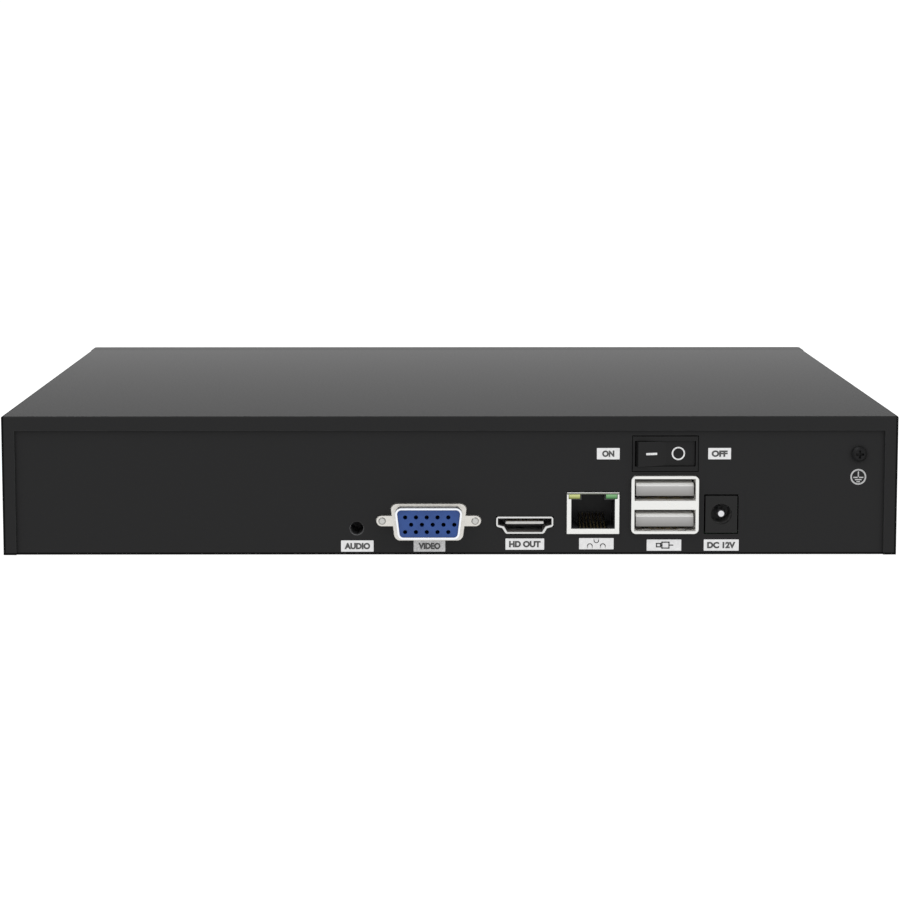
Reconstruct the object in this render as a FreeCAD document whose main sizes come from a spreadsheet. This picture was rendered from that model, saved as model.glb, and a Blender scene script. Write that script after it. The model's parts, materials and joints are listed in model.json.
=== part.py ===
"""A compact network video recorder: a sheet-steel box with its rear sockets, board and disk drive.

Frame: origin under the middle of the box on the surface that it stands on, +Z up, the
socket panel facing -Y, the plastic front bezel facing +Y. Millimetres.
"""
import FreeCAD, Part
import os
import re

import Sketcher
from FreeCAD import Placement, Rotation, Vector

DIMENSIONS = {
    # enclosure
    "body_width": 240, "body_height": 37.5, "rear_face": -103, "front_face": 108,
    "sheet": 0.8, "fit_gap": 0.2, "frame_side": 3.5, "frame_top": 3.9,
    "bend_radius": 0.45, "lip_radius": 0.3, "flange_height": 14, "front_flange": 14,
    "panel_gap": 0.15, "hole_gap": 0.1, "thread_gap": 0.03,
    "foot_height": 2.5, "foot_radius": 6.5, "foot_taper": 0.7, "foot_dish": 3, "dish_depth": 0.8,
    "foot_side": 95, "foot_rear": -78, "foot_front": 82,
    "vent_width": 2.4, "vent_height": 14, "vent_low": 18.5, "vent_pitch": 5, "vent_start": -62,
    "floor_vent_start": -22, "floor_vent_rear": -66, "floor_vent_length": 34,
    # bezel, window and status lamps
    "bezel_depth": 12, "bezel_gap": 1, "bezel_wall": 2, "bezel_cheek": 4.5, "corner_radius": 1,
    "window_left": -104, "window_right": -30, "window_low": 12, "window_high": 31,
    "window_sink": 1.2, "window_gap": 0.1, "clip_inner": 46, "clip_outer": 104, "clip_width": 8,
    "clip_thick": 1.6, "clip_gap": 0.5, "barb_start": 3.2, "barb_end": 1.0,
    "lamp_left": 66, "lamp_pitch": 10, "lamp_height": 21, "lamp_radius": 1.25, "lamp_gap": 0.05,
    "pipe_setback": 3.0, "diode_half": 1.6, "diode_rise": 1.2, "diode_front": 3.2, "diode_depth": 2,
    "lamp_board_thick": 1.6, "lamp_board_margin": 8, "lamp_board_rise": 6,
    # screws
    "screw_head": 2.7, "screw_shank": 1.45, "screw_sink": 1.3, "screw_length": 6, "head_taper": 0.6,
    "cover_screw_height": 12, "cover_screw_rear": -86, "cover_screw_front": 78,
    "recess_width": 0.6, "recess_length": 2.2, "recess_depth": 0.8,
    "ground_x": 109.7, "ground_height": 29.7, "ground_head": 2.05, "ground_shank": 1.2,
    "ground_crown": 0.6, "ground_rim": 0.8, "ground_length": 6, "nut_radius": 2.8, "nut_thick": 2,
    # board and its fixings
    "standoff_height": 3.2, "standoff_radius": 2.8, "board_thickness": 1.6, "board_gap": 0.2,
    "board_left": -34, "board_right": 84, "board_rear": -99.4, "board_front": -15,
    "mount_left": -30, "mount_middle": 25, "mount_right": 81, "mount_rear": -72, "mount_front": -20,
    "board_head": 1.8, "board_slot": 1.0, "shank_gap": 0.4,
    # board components
    "processor_x": 20, "processor_y": -54, "processor_half": 11.5, "processor_high": 1.6,
    "pad_half": 8, "pad_high": 0.8, "sink_half": 18, "sink_base": 2.5, "fin_thick": 1.2, "fin_high": 11.5,
    "memory_x": -12, "memory_y": -66, "memory_pitch": 15, "memory_half": 6.5, "memory_side": 4.5,
    "memory_high": 1.1, "flash_x": 48, "flash_y": -66, "flash_half": 4, "flash_side": 3,
    "flash_high": 1.6, "coil_x": 62, "coil_y": -56, "coil_pitch": 10, "coil_half": 3.6, "coil_high": 4,
    "can_x": 60, "can_y": -46, "can_pitch": 7.4, "can_foot": 3.2, "can_foot_high": 1, "can_radius": 3.1,
    "can_high": 7.9, "cell_x": -15, "cell_y": -32, "cell_radius": 10, "cell_high": 3.2, "cell_gap": 0.1,
    "holder_radius": 11.5, "holder_high": 4.6, "holder_floor": 1, "holder_notch": 5, "holder_reach": 14,
    "sounder_x": 54, "sounder_y": -34, "sounder_radius": 6, "sounder_high": 8.5, "sounder_vent": 1.1,
    "sounder_well": 2.5,
    # audio socket
    "audio_x": -25.1, "audio_height": 9.5, "audio_bore": 1.8, "audio_width": 6.4, "audio_depth": 15,
    "audio_rise": 3.5, "audio_wall": 1, "leaf_side": 1.9, "leaf_half": 0.6, "leaf_start": 4,
    "leaf_end": 13, "leaf_thick": 0.4,
    # video socket
    "video_x": -5.75, "video_height": 11.65, "video_tip": -108, "video_middle": 9.65,
    "video_slope": 0.12, "video_half": 4.95, "video_corner": 1.6, "face_drop": 0.32, "face_proud": 0.5,
    "shell_side": 1.05, "shell_rise": 0.75, "shell_wall": 0.5, "insert_gap": 0.05, "insert_sink": 0.5,
    "back_half": 15.4, "back_rise": 6.2, "insert_depth": 12, "ear_spacing": 25, "ear_radius": 1.5,
    "ear_neck": 1.4, "rivet_radius": 1.0, "rivet_proud": 0.35, "pin_pitch": 2.88, "row_pitch": 1.98,
    "row_drop": 0.3, "pin_hole": 0.58, "outer_row_shift": -0.5, "middle_row_shift": 1.1,
    "leg_pitch": 1.6, "leg_half": 0.3, "leg_high": 4,
    # monitor socket
    "monitor_x": 20.06, "monitor_height": 10.5, "monitor_half": 7.65, "monitor_top": 2.3,
    "monitor_shoulder": -0.35, "monitor_waist": 6.0, "monitor_step": -0.8, "monitor_base": 5.1,
    "monitor_wall": 0.42, "monitor_corner": 0.7, "monitor_depth": 11.5, "monitor_proud": 0.5,
    "tongue_half": 5.1, "tongue_low": 0.15, "tongue_high": 0.85, "tongue_sink": 0.9,
    "holder_depth": 2.5, "holder_low": 1.1, "holder_top": 1.8, "strip_pitch": 0.5, "strip_half": 0.15,
    "strip_thick": 0.1, "strip_start": 1.4,
    # network socket
    "network_x": 38.4, "network_half": 7.07, "network_low": 8.1, "network_high": 19.4,
    "network_proud": 0.6, "network_sink": 0.2, "network_depth": 21, "network_rim": 0.5,
    "network_wall": 0.4, "plug_half": 5.85, "plug_low": 9.54, "plug_high": 17.3, "plug_depth": 14,
    "latch_half": 3.1, "latch_high": 18.8, "latch_depth": 12, "network_lamp": 3.15,
    "network_lamp_high": 1.3, "lamp_shade": 0.35, "network_lamp_depth": 4, "contact_pitch": 0.94,
    "contact_half": 0.17, "contact_rise": 2.7, "contact_tip": 11, "trough_half": 4.1,
    "trough_depth": 0.6, "trough_start": 0.8, "trough_end": 13,
    # serial sockets, two in one shield
    "serial_x": 57.7, "serial_half": 9.05, "serial_low": 8.18, "serial_high": 23.8,
    "serial_corner": 1.3, "serial_proud": 1, "serial_depth": 17, "serial_back": 0.6,
    "serial_open": 8.22, "serial_rim": 0.75, "serial_bar_low": 14.75, "serial_bar_high": 17.16,
    "serial_tongue": 7.75, "serial_tongue_thick": 3.4, "serial_tongue_drop": 1.3,
    "serial_tongue_sink": 1.1, "serial_chamfer": 0.7, "serial_root": 2.6, "serial_pitch": 2.5,
    "serial_strip_half": 0.5, "serial_strip_thick": 0.15, "serial_strip_start": 2.6,
    "spring_side": 4.7, "spring_half": 1.2, "spring_start": 1.2, "spring_end": 4.2,
    # power inlet
    "power_x": 72.87, "power_half": 4.27, "power_low": 8.4, "power_high": 18.4, "power_gap": 0.38,
    "power_proud": 0.4, "power_pin_height": 13.5, "power_bore": 2.8, "power_well": 9.5,
    "power_pin": 1.0, "power_root": 0.8, "power_root_length": 2.6,
    "power_nose": 0.4, "power_tip": 0.8, "power_nose_start": 0.5, "power_depth": 15, "power_tab_half": 1.4,
    "power_tab_pitch": 2.6,
    # rocker switch
    "switch_x": 57.7, "switch_height": 29.8, "switch_half": 8.7, "switch_rise": 4.65,
    "switch_gap": 0.3, "switch_lip": 0.6, "switch_lip_thick": 1.2, "switch_proud": 0.3,
    "switch_cavity": 8.15, "switch_window": 3.45, "switch_back": 1.2, "switch_depth": 14,
    "terminal_pitch": 5, "terminal_half": 0.4, "terminal_rise": 2.4, "terminal_gap": 0.05,
    "terminal_length": 7.6, "terminal_sink": 1.6, "rocker_pivot": -100.6, "rocker_radius": 8.0,
    "rocker_tip": 2.2, "rocker_middle": 1.3, "rocker_heel": 0.9, "rocker_back": 2.6,
    "rocker_waist": 3.2, "rocker_rise": 3.3, "rocker_pin": 0.9, "rocker_pin_length": 0.85,
    "bearing_gap": 0.1, "rocker_tilt": 8, "lever_pivot": -92.6, "lever_half": 6, "lever_thick": 0.8,
    "lever_rise": 2, "lever_knuckle": 1.1, "lever_bore": 0.55, "lever_tilt": 6.4,
    "plunger_radius": 0.9, "plunger_reach": 5.4,
    # disk drive
    "drive_left": -112, "drive_length": 147, "drive_rear": -12, "drive_width": 101.6,
    "drive_thick": 26.1, "drive_spacer": 3.2, "drive_lid": 1.5, "drive_wall": 2.6, "drive_end": 6,
    "drive_skirt": 2.4, "drive_corner": 3, "drive_cavity": 16, "drive_thread": 6,
    "drive_mount_low": 28.5, "drive_mount_high": 130, "drive_mount_rear": 3.2,
    "drive_mount_front": 98.4, "card_thick": 1.6, "card_left": 30, "card_right": 6, "card_rear": 8,
    "card_front": 40, "spindle_x": -60, "spindle_y": 38.8, "platter_radius": 47,
    "platter_thick": 1.3, "platter_pitch": 5, "stack_rise": 3, "hub_radius": 12.5, "hub_rise": 0.3,
    "hub_high": 10.5, "cap_step": 3, "cap_high": 1.2, "arm_x": -2, "arm_y": 18, "arm_reach": 52,
    "arm_hub": 8, "arm_angle": 111.3, "arm_half": 2.2, "arm_thick": 1.2, "arm_drop": 2.4,
    "hub_drop": 2.7, "arm_hub_high": 12, "coil_start": 4, "coil_end": 25, "coil_side": 7,
    "coil_low": 1.2, "coil_thick": 2.8, "magnet_left": 9, "magnet_right": 27, "magnet_gap": 0.3,
    "magnet_clear": 9, "magnet_drop": 2.6, "magnet_pitch": 8.6, "magnet_thick": 2,
    "spacer_radius": 3.2, "drive_head": 1.2, "drive_head_radius": 2.7, "drive_slot": 1.3,
    # internal leads
    "lead_lift": 7, "lead_bend": 12, "plug_long": 8, "plug_thick": 3, "data_along": 16, "data_x": 58,
    "data_plug": 7, "data_lead": 1.6, "feed_along": 46, "feed_x": 72, "feed_plug": 10,
    "feed_lead": 2.0, "board_socket_half": 5.5, "board_socket_depth": 9, "board_socket_rise": 4,
    "header_shift": 2.5, "header_half": 5, "header_side": 2.5, "header_high": 6, "header_reach": 7,
    "switch_lead": 0.9,
}

SIDE_VENTS = 24
FLOOR_VENTS = 18
STATUS_LAMPS = 3
SINK_FINS = 8

WIDE = "(body_width / 2)"
TOP = "(foot_height + body_height)"
FLOOR = "(foot_height + sheet)"
PANEL = "(rear_face + sheet)"
PANEL_BACK = "(rear_face + 2 * sheet)"
BEZEL_BACK = "(front_face - bezel_depth)"
TRAY_SIDE = "(body_width / 2 - sheet - fit_gap)"
TRAY_FRONT = f"({BEZEL_BACK} - bezel_gap)"
BOARD = f"({FLOOR} + standoff_height + board_thickness)"
DRIVE = f"({FLOOR} + drive_spacer)"
DRIVE_RIM = f"({DRIVE} + drive_thick - drive_lid)"
DRIVE_FLOOR = f"({DRIVE_RIM} - drive_cavity)"
DRIVE_BASE = f"({DRIVE} + drive_skirt)"
DRIVE_RIGHT = "(drive_left + drive_length)"
DRIVE_FRONT = "(drive_rear + drive_width)"
STACK = f"({DRIVE_FLOOR} + stack_rise)"
SWITCH_END = f"({PANEL} + switch_depth)"

ACROSS = Vector(1, 0, 0)
BACKWARD = Vector(0, 1, 0)
UPWARD = Vector(0, 0, 1)

DOC = FreeCAD.newDocument("recorder")
PIECES = []


def make_sheet():
    """The spreadsheet of driving dimensions."""
    cells = DOC.addObject("Spreadsheet::Sheet", "Dims")
    for row, (alias, value) in enumerate(DIMENSIONS.items(), start=1):
        cells.set(f"A{row}", alias)
        cells.set(f"B{row}", str(value))
        cells.setAlias(f"B{row}", alias)
    DOC.recompute()


def bound(text):
    """An expression in which each dimension's name reads its cell."""
    def cell(word):
        return f"Dims.{word.group()}" if word.group() in DIMENSIONS else word.group()
    return re.sub(r"[a-z_]+[a-z0-9_]*", cell, str(text))


def bind(thing, prop, text):
    thing.setExpression(prop, bound(text))


def reading(text):
    """The value of an expression, worked out by the sheet's own document."""
    return float(DOC.Dims.evalExpression(bound(text)))


def piece(thing, label):
    """Registers a finished sub-part under the name of its file."""
    thing.Label = label
    PIECES.append(thing)
    return thing


def rectangle(x, y):
    return [(x[0], y[0]), (x[1], y[0]), (x[1], y[1]), (x[0], y[1])]


def around(centre, half):
    return (f"{centre} - ({half})", f"{centre} + ({half})")


# ---------------------------------------------------------------- primitives and booleans

TURNS = {
    "z": Rotation(),
    "y": Rotation(ACROSS, -90),
    "x": Rotation(BACKWARD, 90),
    "-x": Rotation(BACKWARD, -90),
}


def place(solid, at):
    for axis, text in zip("xyz", at):
        bind(solid, f"Placement.Base.{axis}", text)


def block(name, x, y, z):
    """A box between two expressions along each axis."""
    solid = DOC.addObject("Part::Box", name)
    for side, (low, high) in zip(("Length", "Width", "Height"), (x, y, z)):
        bind(solid, side, f"({high}) - ({low})")
    place(solid, (x[0], y[0], z[0]))
    return solid


def rod(name, at, radius, length, axis="z"):
    solid = DOC.addObject("Part::Cylinder", name)
    solid.Placement = Placement(Vector(), TURNS[axis])
    bind(solid, "Radius", radius)
    bind(solid, "Height", length)
    place(solid, at)
    return solid


def cone(name, at, start_radius, end_radius, length, axis="z"):
    solid = DOC.addObject("Part::Cone", name)
    solid.Placement = Placement(Vector(), TURNS[axis])
    bind(solid, "Radius1", start_radius)
    bind(solid, "Radius2", end_radius)
    bind(solid, "Height", length)
    place(solid, at)
    return solid


def group(name, solids):
    together = DOC.addObject("Part::Compound", name)
    together.Links = solids
    return together


def minus(name, base, tools):
    cut = DOC.addObject("Part::Cut", name)
    cut.Base = base
    cut.Tool = tools[0] if len(tools) == 1 else group(name + "_tools", tools)
    return cut


def plus(name, solids):
    joined = DOC.addObject("Part::MultiFuse", name)
    joined.Shapes = solids
    return joined


def turned(thing, axis, angle, at):
    """Puts a piece that was drawn about its pivot in its place, turned to rest."""
    thing.Placement = Placement(Vector(), Rotation(axis, 1))
    bind(thing, "Placement.Rotation.Angle", angle)
    place(thing, at)
    return thing


def tube(name, start, corner, finish, radius):
    """A round lead along two straight runs at right angles, joined by an arc."""
    arrive = (corner - start).normalize()
    leave = (finish - corner).normalize()
    bend = min(reading("lead_bend"), 0.9 * (corner - start).Length, 0.9 * (finish - corner).Length)
    first = corner - arrive * bend
    last = corner + leave * bend
    middle = corner + (leave - arrive).normalize() * (bend * (2 ** 0.5 - 1))
    path = Part.Wire([
        Part.LineSegment(start, first).toShape(),
        Part.Arc(first, middle, last).toShape(),
        Part.LineSegment(last, finish).toShape(),
    ])
    ring = Part.Wire([Part.Circle(start, arrive, reading(radius)).toShape()])
    solid = DOC.addObject("Part::Feature", name)
    solid.Shape = path.makePipeShell([ring], True, True)
    solid.Placement = Placement()
    return solid


# ---------------------------------------------------------------- bodies made from sketches

def new_body(name):
    return DOC.addObject("PartDesign::Body", name)


def origin_plane(body, role):
    return next(item for item in body.Origin.OriginFeatures if item.Role == role)


def pin_point(sketch, curve, end, spot, x, y):
    """Binds a point of a curve to two expressions."""
    for kind, value, text in (("DistanceX", spot.x, x), ("DistanceY", spot.y, y)):
        row = sketch.addConstraint(Sketcher.Constraint(kind, -1, 1, curve, end, value))
        bind(sketch, f"Constraints[{row}]", text)


def add_outline(sketch, points):
    """A closed polygon whose corners are bound to pairs of expressions."""
    corners = [Vector(reading(x), reading(y), 0) for x, y in points]
    lines = []
    for start, end in zip(corners, corners[1:] + corners[:1]):
        lines.append(sketch.addGeometry(Part.LineSegment(start, end), False))
    for line, following in zip(lines, lines[1:] + lines[:1]):
        sketch.addConstraint(Sketcher.Constraint("Coincident", line, 2, following, 1))
    for line, corner, (x, y) in zip(lines, corners, points):
        pin_point(sketch, line, 1, corner, x, y)


def add_circle(sketch, x, y, radius):
    centre = Vector(reading(x), reading(y), 0)
    ring = sketch.addGeometry(Part.Circle(centre, UPWARD, reading(radius)), False)
    pin_point(sketch, ring, 3, centre, x, y)
    row = sketch.addConstraint(Sketcher.Constraint("Radius", ring, reading(radius)))
    bind(sketch, f"Constraints[{row}]", radius)


def new_sketch(body, name, role, level, loops):
    """A sketch on an origin plane, moved along its normal, with polygons and circles."""
    sketch = body.newObject("Sketcher::SketchObject", name)
    sketch.AttachmentSupport = [(origin_plane(body, role), "")]
    sketch.MapMode = "FlatFace"
    bind(sketch, "AttachmentOffset.Base.z", level)
    for loop in loops:
        if loop[0] == "circle":
            add_circle(sketch, *loop[1:])
        else:
            add_outline(sketch, loop)
    return sketch


def extrude(kind, body, name, role, span, loops):
    """A pad or pocket between two expressions along the plane's world axis.

    A pad grows along the sketch's normal and a pocket against it, and the normal of XZ_Plane is -Y.
    """
    low, high = span
    flipped = role == "XZ_Plane"
    starts_low = (kind == "Pad") != flipped
    level = low if starts_low else high
    feature = body.newObject(f"PartDesign::{kind}", name)
    feature.Profile = new_sketch(body, name + "_sketch", role, f"-({level})" if flipped else level, loops)
    bind(feature, "Length", f"({high}) - ({low})")
    return feature


def pad(body, name, role, span, loops):
    return extrude("Pad", body, name, role, span, loops)


def pocket(body, name, role, span, loops):
    return extrude("Pocket", body, name, role, span, loops)


def repeat(body, name, feature, pitch, count):
    """Copies of a feature along its sketch's own horizontal axis."""
    pattern = body.newObject("PartDesign::LinearPattern", name)
    pattern.Originals = [feature]
    pattern.Direction = (feature.Profile[0], ["H_Axis"])
    bind(pattern, "Length", f"{pitch} * {count - 1}")
    pattern.Occurrences = count
    body.Tip = pattern
    return pattern


def round_edges(body, name, radius, wanted):
    """A fillet on the edges of the body's tip that the test picks."""
    DOC.recompute()
    tip = body.Tip
    names = [f"Edge{n}" for n, edge in enumerate(tip.Shape.Edges, start=1) if wanted(edge)]
    if not names:
        raise ValueError(f"no edge to round for {name}")
    feature = body.newObject("PartDesign::Fillet", name)
    feature.Base = (tip, names)
    bind(feature, "Radius", radius)
    body.Tip = feature
    return feature


def runs_along(edge, axis):
    if len(edge.Vertexes) != 2 or not isinstance(edge.Curve, Part.Line):
        return False
    return abs(abs(edge.Curve.Direction.dot(axis)) - 1) < 1e-6


def runs_back(edge):
    return runs_along(edge, BACKWARD)


def stands_up(edge):
    return runs_along(edge, UPWARD)


def near(value, text):
    return abs(value - reading(text)) < 1e-4


def offset_from(edge, axis, text):
    """How far the middle of an edge lies from an expression along an axis, either way."""
    return abs(getattr(edge.CenterOfMass, axis) - reading(text))


# ---------------------------------------------------------------- outlines shared by pieces

def tapered_d(side, rise, drop="0"):
    """The video socket's D, wider at the top, grown sideways and upwards by expressions."""
    centre = f"(video_height - ({drop}))"
    half = f"(video_half + ({rise}))"
    top = f"(video_middle + ({side}) + video_slope * {half})"
    bottom = f"(video_middle + ({side}) - video_slope * {half})"
    return [
        (f"video_x - {top}", f"{centre} + {half}"),
        (f"video_x + {top}", f"{centre} + {half}"),
        (f"video_x + {bottom}", f"{centre} - {half}"),
        (f"video_x - {bottom}", f"{centre} - {half}"),
    ]


def video_face_outline(grow):
    """The video socket's face: a D with a narrow ear on each side, as one polygon."""
    neck = f"(ear_neck + {grow})"
    reach = f"(ear_spacing / 2 + ear_radius + {grow})"
    upper = f"(video_middle + {grow} + video_slope * (face_drop + {neck}))"
    lower = f"(video_middle + {grow} + video_slope * (face_drop - {neck}))"
    right = [(f"video_x + {upper}", f"video_height + {neck}"),
             (f"video_x + {reach}", f"video_height + {neck}"),
             (f"video_x + {reach}", f"video_height - {neck}"),
             (f"video_x + {lower}", f"video_height - {neck}")]
    left = [(f"video_x - {lower}", f"video_height - {neck}"),
            (f"video_x - {reach}", f"video_height - {neck}"),
            (f"video_x - {reach}", f"video_height + {neck}"),
            (f"video_x - {upper}", f"video_height + {neck}")]
    corners = tapered_d(grow, grow, "face_drop")
    return corners[:2] + right + corners[2:] + left


def round_video_face(body, name, gap):
    """Rounds the corners and ear ends of the video face, or of the panel's opening around it."""
    def beside(edge):
        return runs_back(edge) and offset_from(edge, "x", "video_x") < reading("back_half - 1")

    def corner(edge):
        return beside(edge) and offset_from(edge, "z", "video_height - face_drop") > reading("video_half - 1")

    def ear_end(edge):
        return (beside(edge) and offset_from(edge, "x", "video_x") > reading("ear_spacing / 2")
                and offset_from(edge, "z", "video_height") < reading("video_half - 1"))
    round_edges(body, name + "_corners", f"video_corner + {gap}", corner)
    round_edges(body, name + "_ears", f"ear_neck + {gap} - 0.01", ear_end)


def monitor_outline(grow):
    """The monitor socket's shape: a flat top, shoulders and a narrower base."""
    left = [
        (f"monitor_x - monitor_base - ({grow})", f"monitor_height - monitor_top - ({grow})"),
        (f"monitor_x - monitor_waist - ({grow})", f"monitor_height + monitor_step - ({grow})"),
        (f"monitor_x - monitor_half - ({grow})", f"monitor_height + monitor_shoulder - ({grow})"),
        (f"monitor_x - monitor_half - ({grow})", f"monitor_height + monitor_top + ({grow})"),
    ]
    right = [
        (f"monitor_x + monitor_half + ({grow})", f"monitor_height + monitor_top + ({grow})"),
        (f"monitor_x + monitor_half + ({grow})", f"monitor_height + monitor_shoulder - ({grow})"),
        (f"monitor_x + monitor_waist + ({grow})", f"monitor_height + monitor_step - ({grow})"),
        (f"monitor_x + monitor_base + ({grow})", f"monitor_height - monitor_top - ({grow})"),
    ]
    return left + right


# ---------------------------------------------------------------- enclosure

SCREW_SPOTS = [(side, y) for side in (-1, 1) for y in ("cover_screw_rear", "cover_screw_front")]


def inward(side):
    """The turn that points a rod from a side wall into the box."""
    return "x" if side < 0 else "-x"


def countersinks(name):
    """Tools for the countersunk holes in both side walls."""
    tools = []
    for number, (side, y) in enumerate(SCREW_SPOTS):
        at = (f"{side} * {WIDE}", y, "cover_screw_height")
        tools.append(cone(f"{name}_sink_{number}", at, "screw_head + hole_gap", "screw_shank + hole_gap",
                          "screw_sink", inward(side)))
        tools.append(rod(f"{name}_hole_{number}", at, "screw_shank + hole_gap", "screw_length",
                         inward(side)))
    return tools


def drive_mounts():
    return [(f"drive_left + {x}", f"drive_rear + {y}")
            for x in ("drive_mount_low", "drive_mount_high")
            for y in ("drive_mount_rear", "drive_mount_front")]


def panel_openings():
    """Cut-outs of the socket panel, a little larger than what stands in them."""
    network = rectangle(around("network_x", "network_half + panel_gap"),
                        ("network_low - panel_gap", "network_high + panel_gap"))
    serial = rectangle(around("serial_x", "serial_half + panel_gap"),
                       ("serial_low - panel_gap", "serial_high + panel_gap"))
    power = rectangle(around("power_x", "power_half + power_gap"),
                      ("power_low - power_gap", "power_high + power_gap"))
    switch = rectangle(around("switch_x", "switch_half + switch_gap"),
                       around("switch_height", "switch_rise + switch_gap"))
    return [
        ("circle", "audio_x", "audio_height", "audio_bore + hole_gap"),
        ("circle", "ground_x", "ground_height", "ground_shank + panel_gap"),
        video_face_outline("panel_gap"), monitor_outline("panel_gap"), network, serial, power, switch,
    ]


def chassis_tray():
    """Floor, socket panel, side flanges and front flange, bent from one sheet."""
    def serial_corner(edge):
        ends = ("serial_low - panel_gap", "serial_high + panel_gap")
        level = any(near(edge.CenterOfMass.z, end) for end in ends)
        return runs_back(edge) and level and offset_from(edge, "x", "serial_x") < reading("serial_half + 1")

    body = new_body("tray_body")
    sides = (f"-{TRAY_SIDE}", TRAY_SIDE)
    depth = (PANEL, TRAY_FRONT)
    pad(body, "floor", "XY_Plane", ("foot_height", FLOOR), [rectangle(sides, depth)])
    panel = rectangle(sides, ("foot_height", f"{TOP} - sheet - fit_gap"))
    pad(body, "panel", "XZ_Plane", (PANEL, PANEL_BACK), [panel])
    flange = rectangle(depth, ("foot_height", "foot_height + flange_height"))
    pad(body, "left_flange", "YZ_Plane", (f"-{TRAY_SIDE}", f"-{TRAY_SIDE} + sheet"), [flange])
    pad(body, "right_flange", "YZ_Plane", (f"{TRAY_SIDE} - sheet", TRAY_SIDE), [flange])
    lip = rectangle(sides, ("foot_height", "foot_height + front_flange"))
    pad(body, "front_lip", "XZ_Plane", (f"{TRAY_FRONT} - sheet", TRAY_FRONT), [lip])
    pocket(body, "socket_holes", "XZ_Plane", (PANEL, PANEL_BACK), panel_openings())
    round_video_face(body, "video_opening", "panel_gap")
    round_edges(body, "serial_opening", "serial_corner + panel_gap", serial_corner)
    slot = rectangle(("floor_vent_start", "floor_vent_start + vent_width"),
                     ("floor_vent_rear", "floor_vent_rear + floor_vent_length"))
    vent = pocket(body, "floor_vent", "XY_Plane", ("foot_height", FLOOR), [slot])
    repeat(body, "floor_vents", vent, "vent_pitch", FLOOR_VENTS)
    holes = [("circle", x, y, "screw_shank + hole_gap") for x, y in drive_mounts()]
    pocket(body, "drive_holes", "XY_Plane", ("foot_height", FLOOR), holes)
    piece(minus("tray", body, countersinks("tray")), "chassis_tray")


def top_cover():
    """Top and sides bent from one sheet, with a narrow frame turned in at the socket panel."""
    def long_bend(edge):
        return runs_back(edge) and near(edge.CenterOfMass.z, TOP) and near(abs(edge.CenterOfMass.x), WIDE)

    def rear_bend(edge):
        outer = near(abs(edge.CenterOfMass.x), WIDE) or near(edge.CenterOfMass.z, TOP)
        return outer and near(edge.CenterOfMass.y, "rear_face")

    body = new_body("cover_body")
    depth = ("rear_face", BEZEL_BACK)
    top = rectangle((f"-{WIDE}", WIDE), depth)
    pad(body, "cover_top", "XY_Plane", (f"{TOP} - sheet", TOP), [top])
    side = rectangle(depth, ("foot_height", TOP))
    pad(body, "left_side", "YZ_Plane", (f"-{WIDE}", f"-{WIDE} + sheet"), [side])
    pad(body, "right_side", "YZ_Plane", (f"{WIDE} - sheet", WIDE), [side])
    inner = f"({WIDE} - frame_side)"
    frame = [
        (f"-{WIDE}", "foot_height"), (f"-{WIDE}", TOP), (WIDE, TOP), (WIDE, "foot_height"),
        (inner, "foot_height"), (inner, f"{TOP} - frame_top"),
        (f"-{inner}", f"{TOP} - frame_top"), (f"-{inner}", "foot_height"),
    ]
    pad(body, "rear_frame", "XZ_Plane", ("rear_face", PANEL), [frame])
    slot = rectangle(("vent_start", "vent_start + vent_width"), ("vent_low", "vent_low + vent_height"))
    vent = pocket(body, "side_vent", "YZ_Plane", (f"-{WIDE}", WIDE), [slot])
    repeat(body, "side_vents", vent, "vent_pitch", SIDE_VENTS)
    round_edges(body, "long_bends", "bend_radius", long_bend)
    round_edges(body, "rear_bends", "lip_radius", rear_bend)
    piece(minus("cover", body, countersinks("cover")), "top_cover")


def front_bezel():
    """Moulded front, hollow behind, rounded in plan at both corners, with clips over the tray."""
    def plan_corner(edge):
        return stands_up(edge) and near(edge.CenterOfMass.y, "front_face")

    body = new_body("front_bezel_body")
    plan = rectangle((f"-{WIDE}", WIDE), (BEZEL_BACK, "front_face"))
    pad(body, "bezel_block", "XY_Plane", ("foot_height", TOP), [plan])
    round_edges(body, "bezel_corners", "corner_radius", plan_corner)
    hollow = rectangle((f"-{WIDE} + bezel_cheek", f"{WIDE} - bezel_cheek"),
                       ("foot_height + bezel_wall", f"{TOP} - bezel_wall"))
    inside = "(front_face - bezel_wall)"
    pocket(body, "bezel_hollow", "XZ_Plane", (BEZEL_BACK, inside), [hollow])
    window = rectangle(("window_left", "window_right"), ("window_low", "window_high"))
    pocket(body, "window_recess", "XZ_Plane", ("front_face - window_sink", "front_face"), [window])
    lamps = [("circle", f"lamp_left + {number} * lamp_pitch", "lamp_height", "lamp_radius + lamp_gap")
             for number in range(STATUS_LAMPS)]
    pocket(body, "lamp_holes", "XZ_Plane", (inside, "front_face"), lamps)
    clip_low = "(foot_height + front_flange + clip_gap)"
    arms = []
    barbs = []
    for side in (-1, 1):
        for reach in ("clip_inner", "clip_outer"):
            span = around(f"{side} * {reach}", "clip_width / 2")
            arms.append(rectangle(span, (clip_low, f"{clip_low} + clip_thick")))
            barbs.append(rectangle(span, (f"{clip_low} - clip_thick", clip_low)))
    barb = (f"{TRAY_FRONT} - barb_start", f"{TRAY_FRONT} - barb_end")
    pad(body, "clip_arms", "XZ_Plane", (barb[0], inside), arms)
    pad(body, "clip_barbs", "XZ_Plane", barb, barbs)
    piece(body, "front_bezel")


def front_window():
    """Smoked window let into the bezel."""
    body = new_body("window_body")
    outline = rectangle(("window_left + window_gap", "window_right - window_gap"),
                        ("window_low + window_gap", "window_high - window_gap"))
    pad(body, "window_plate", "XZ_Plane", ("front_face - window_sink", "front_face"), [outline])
    piece(body, "front_window")


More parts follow.
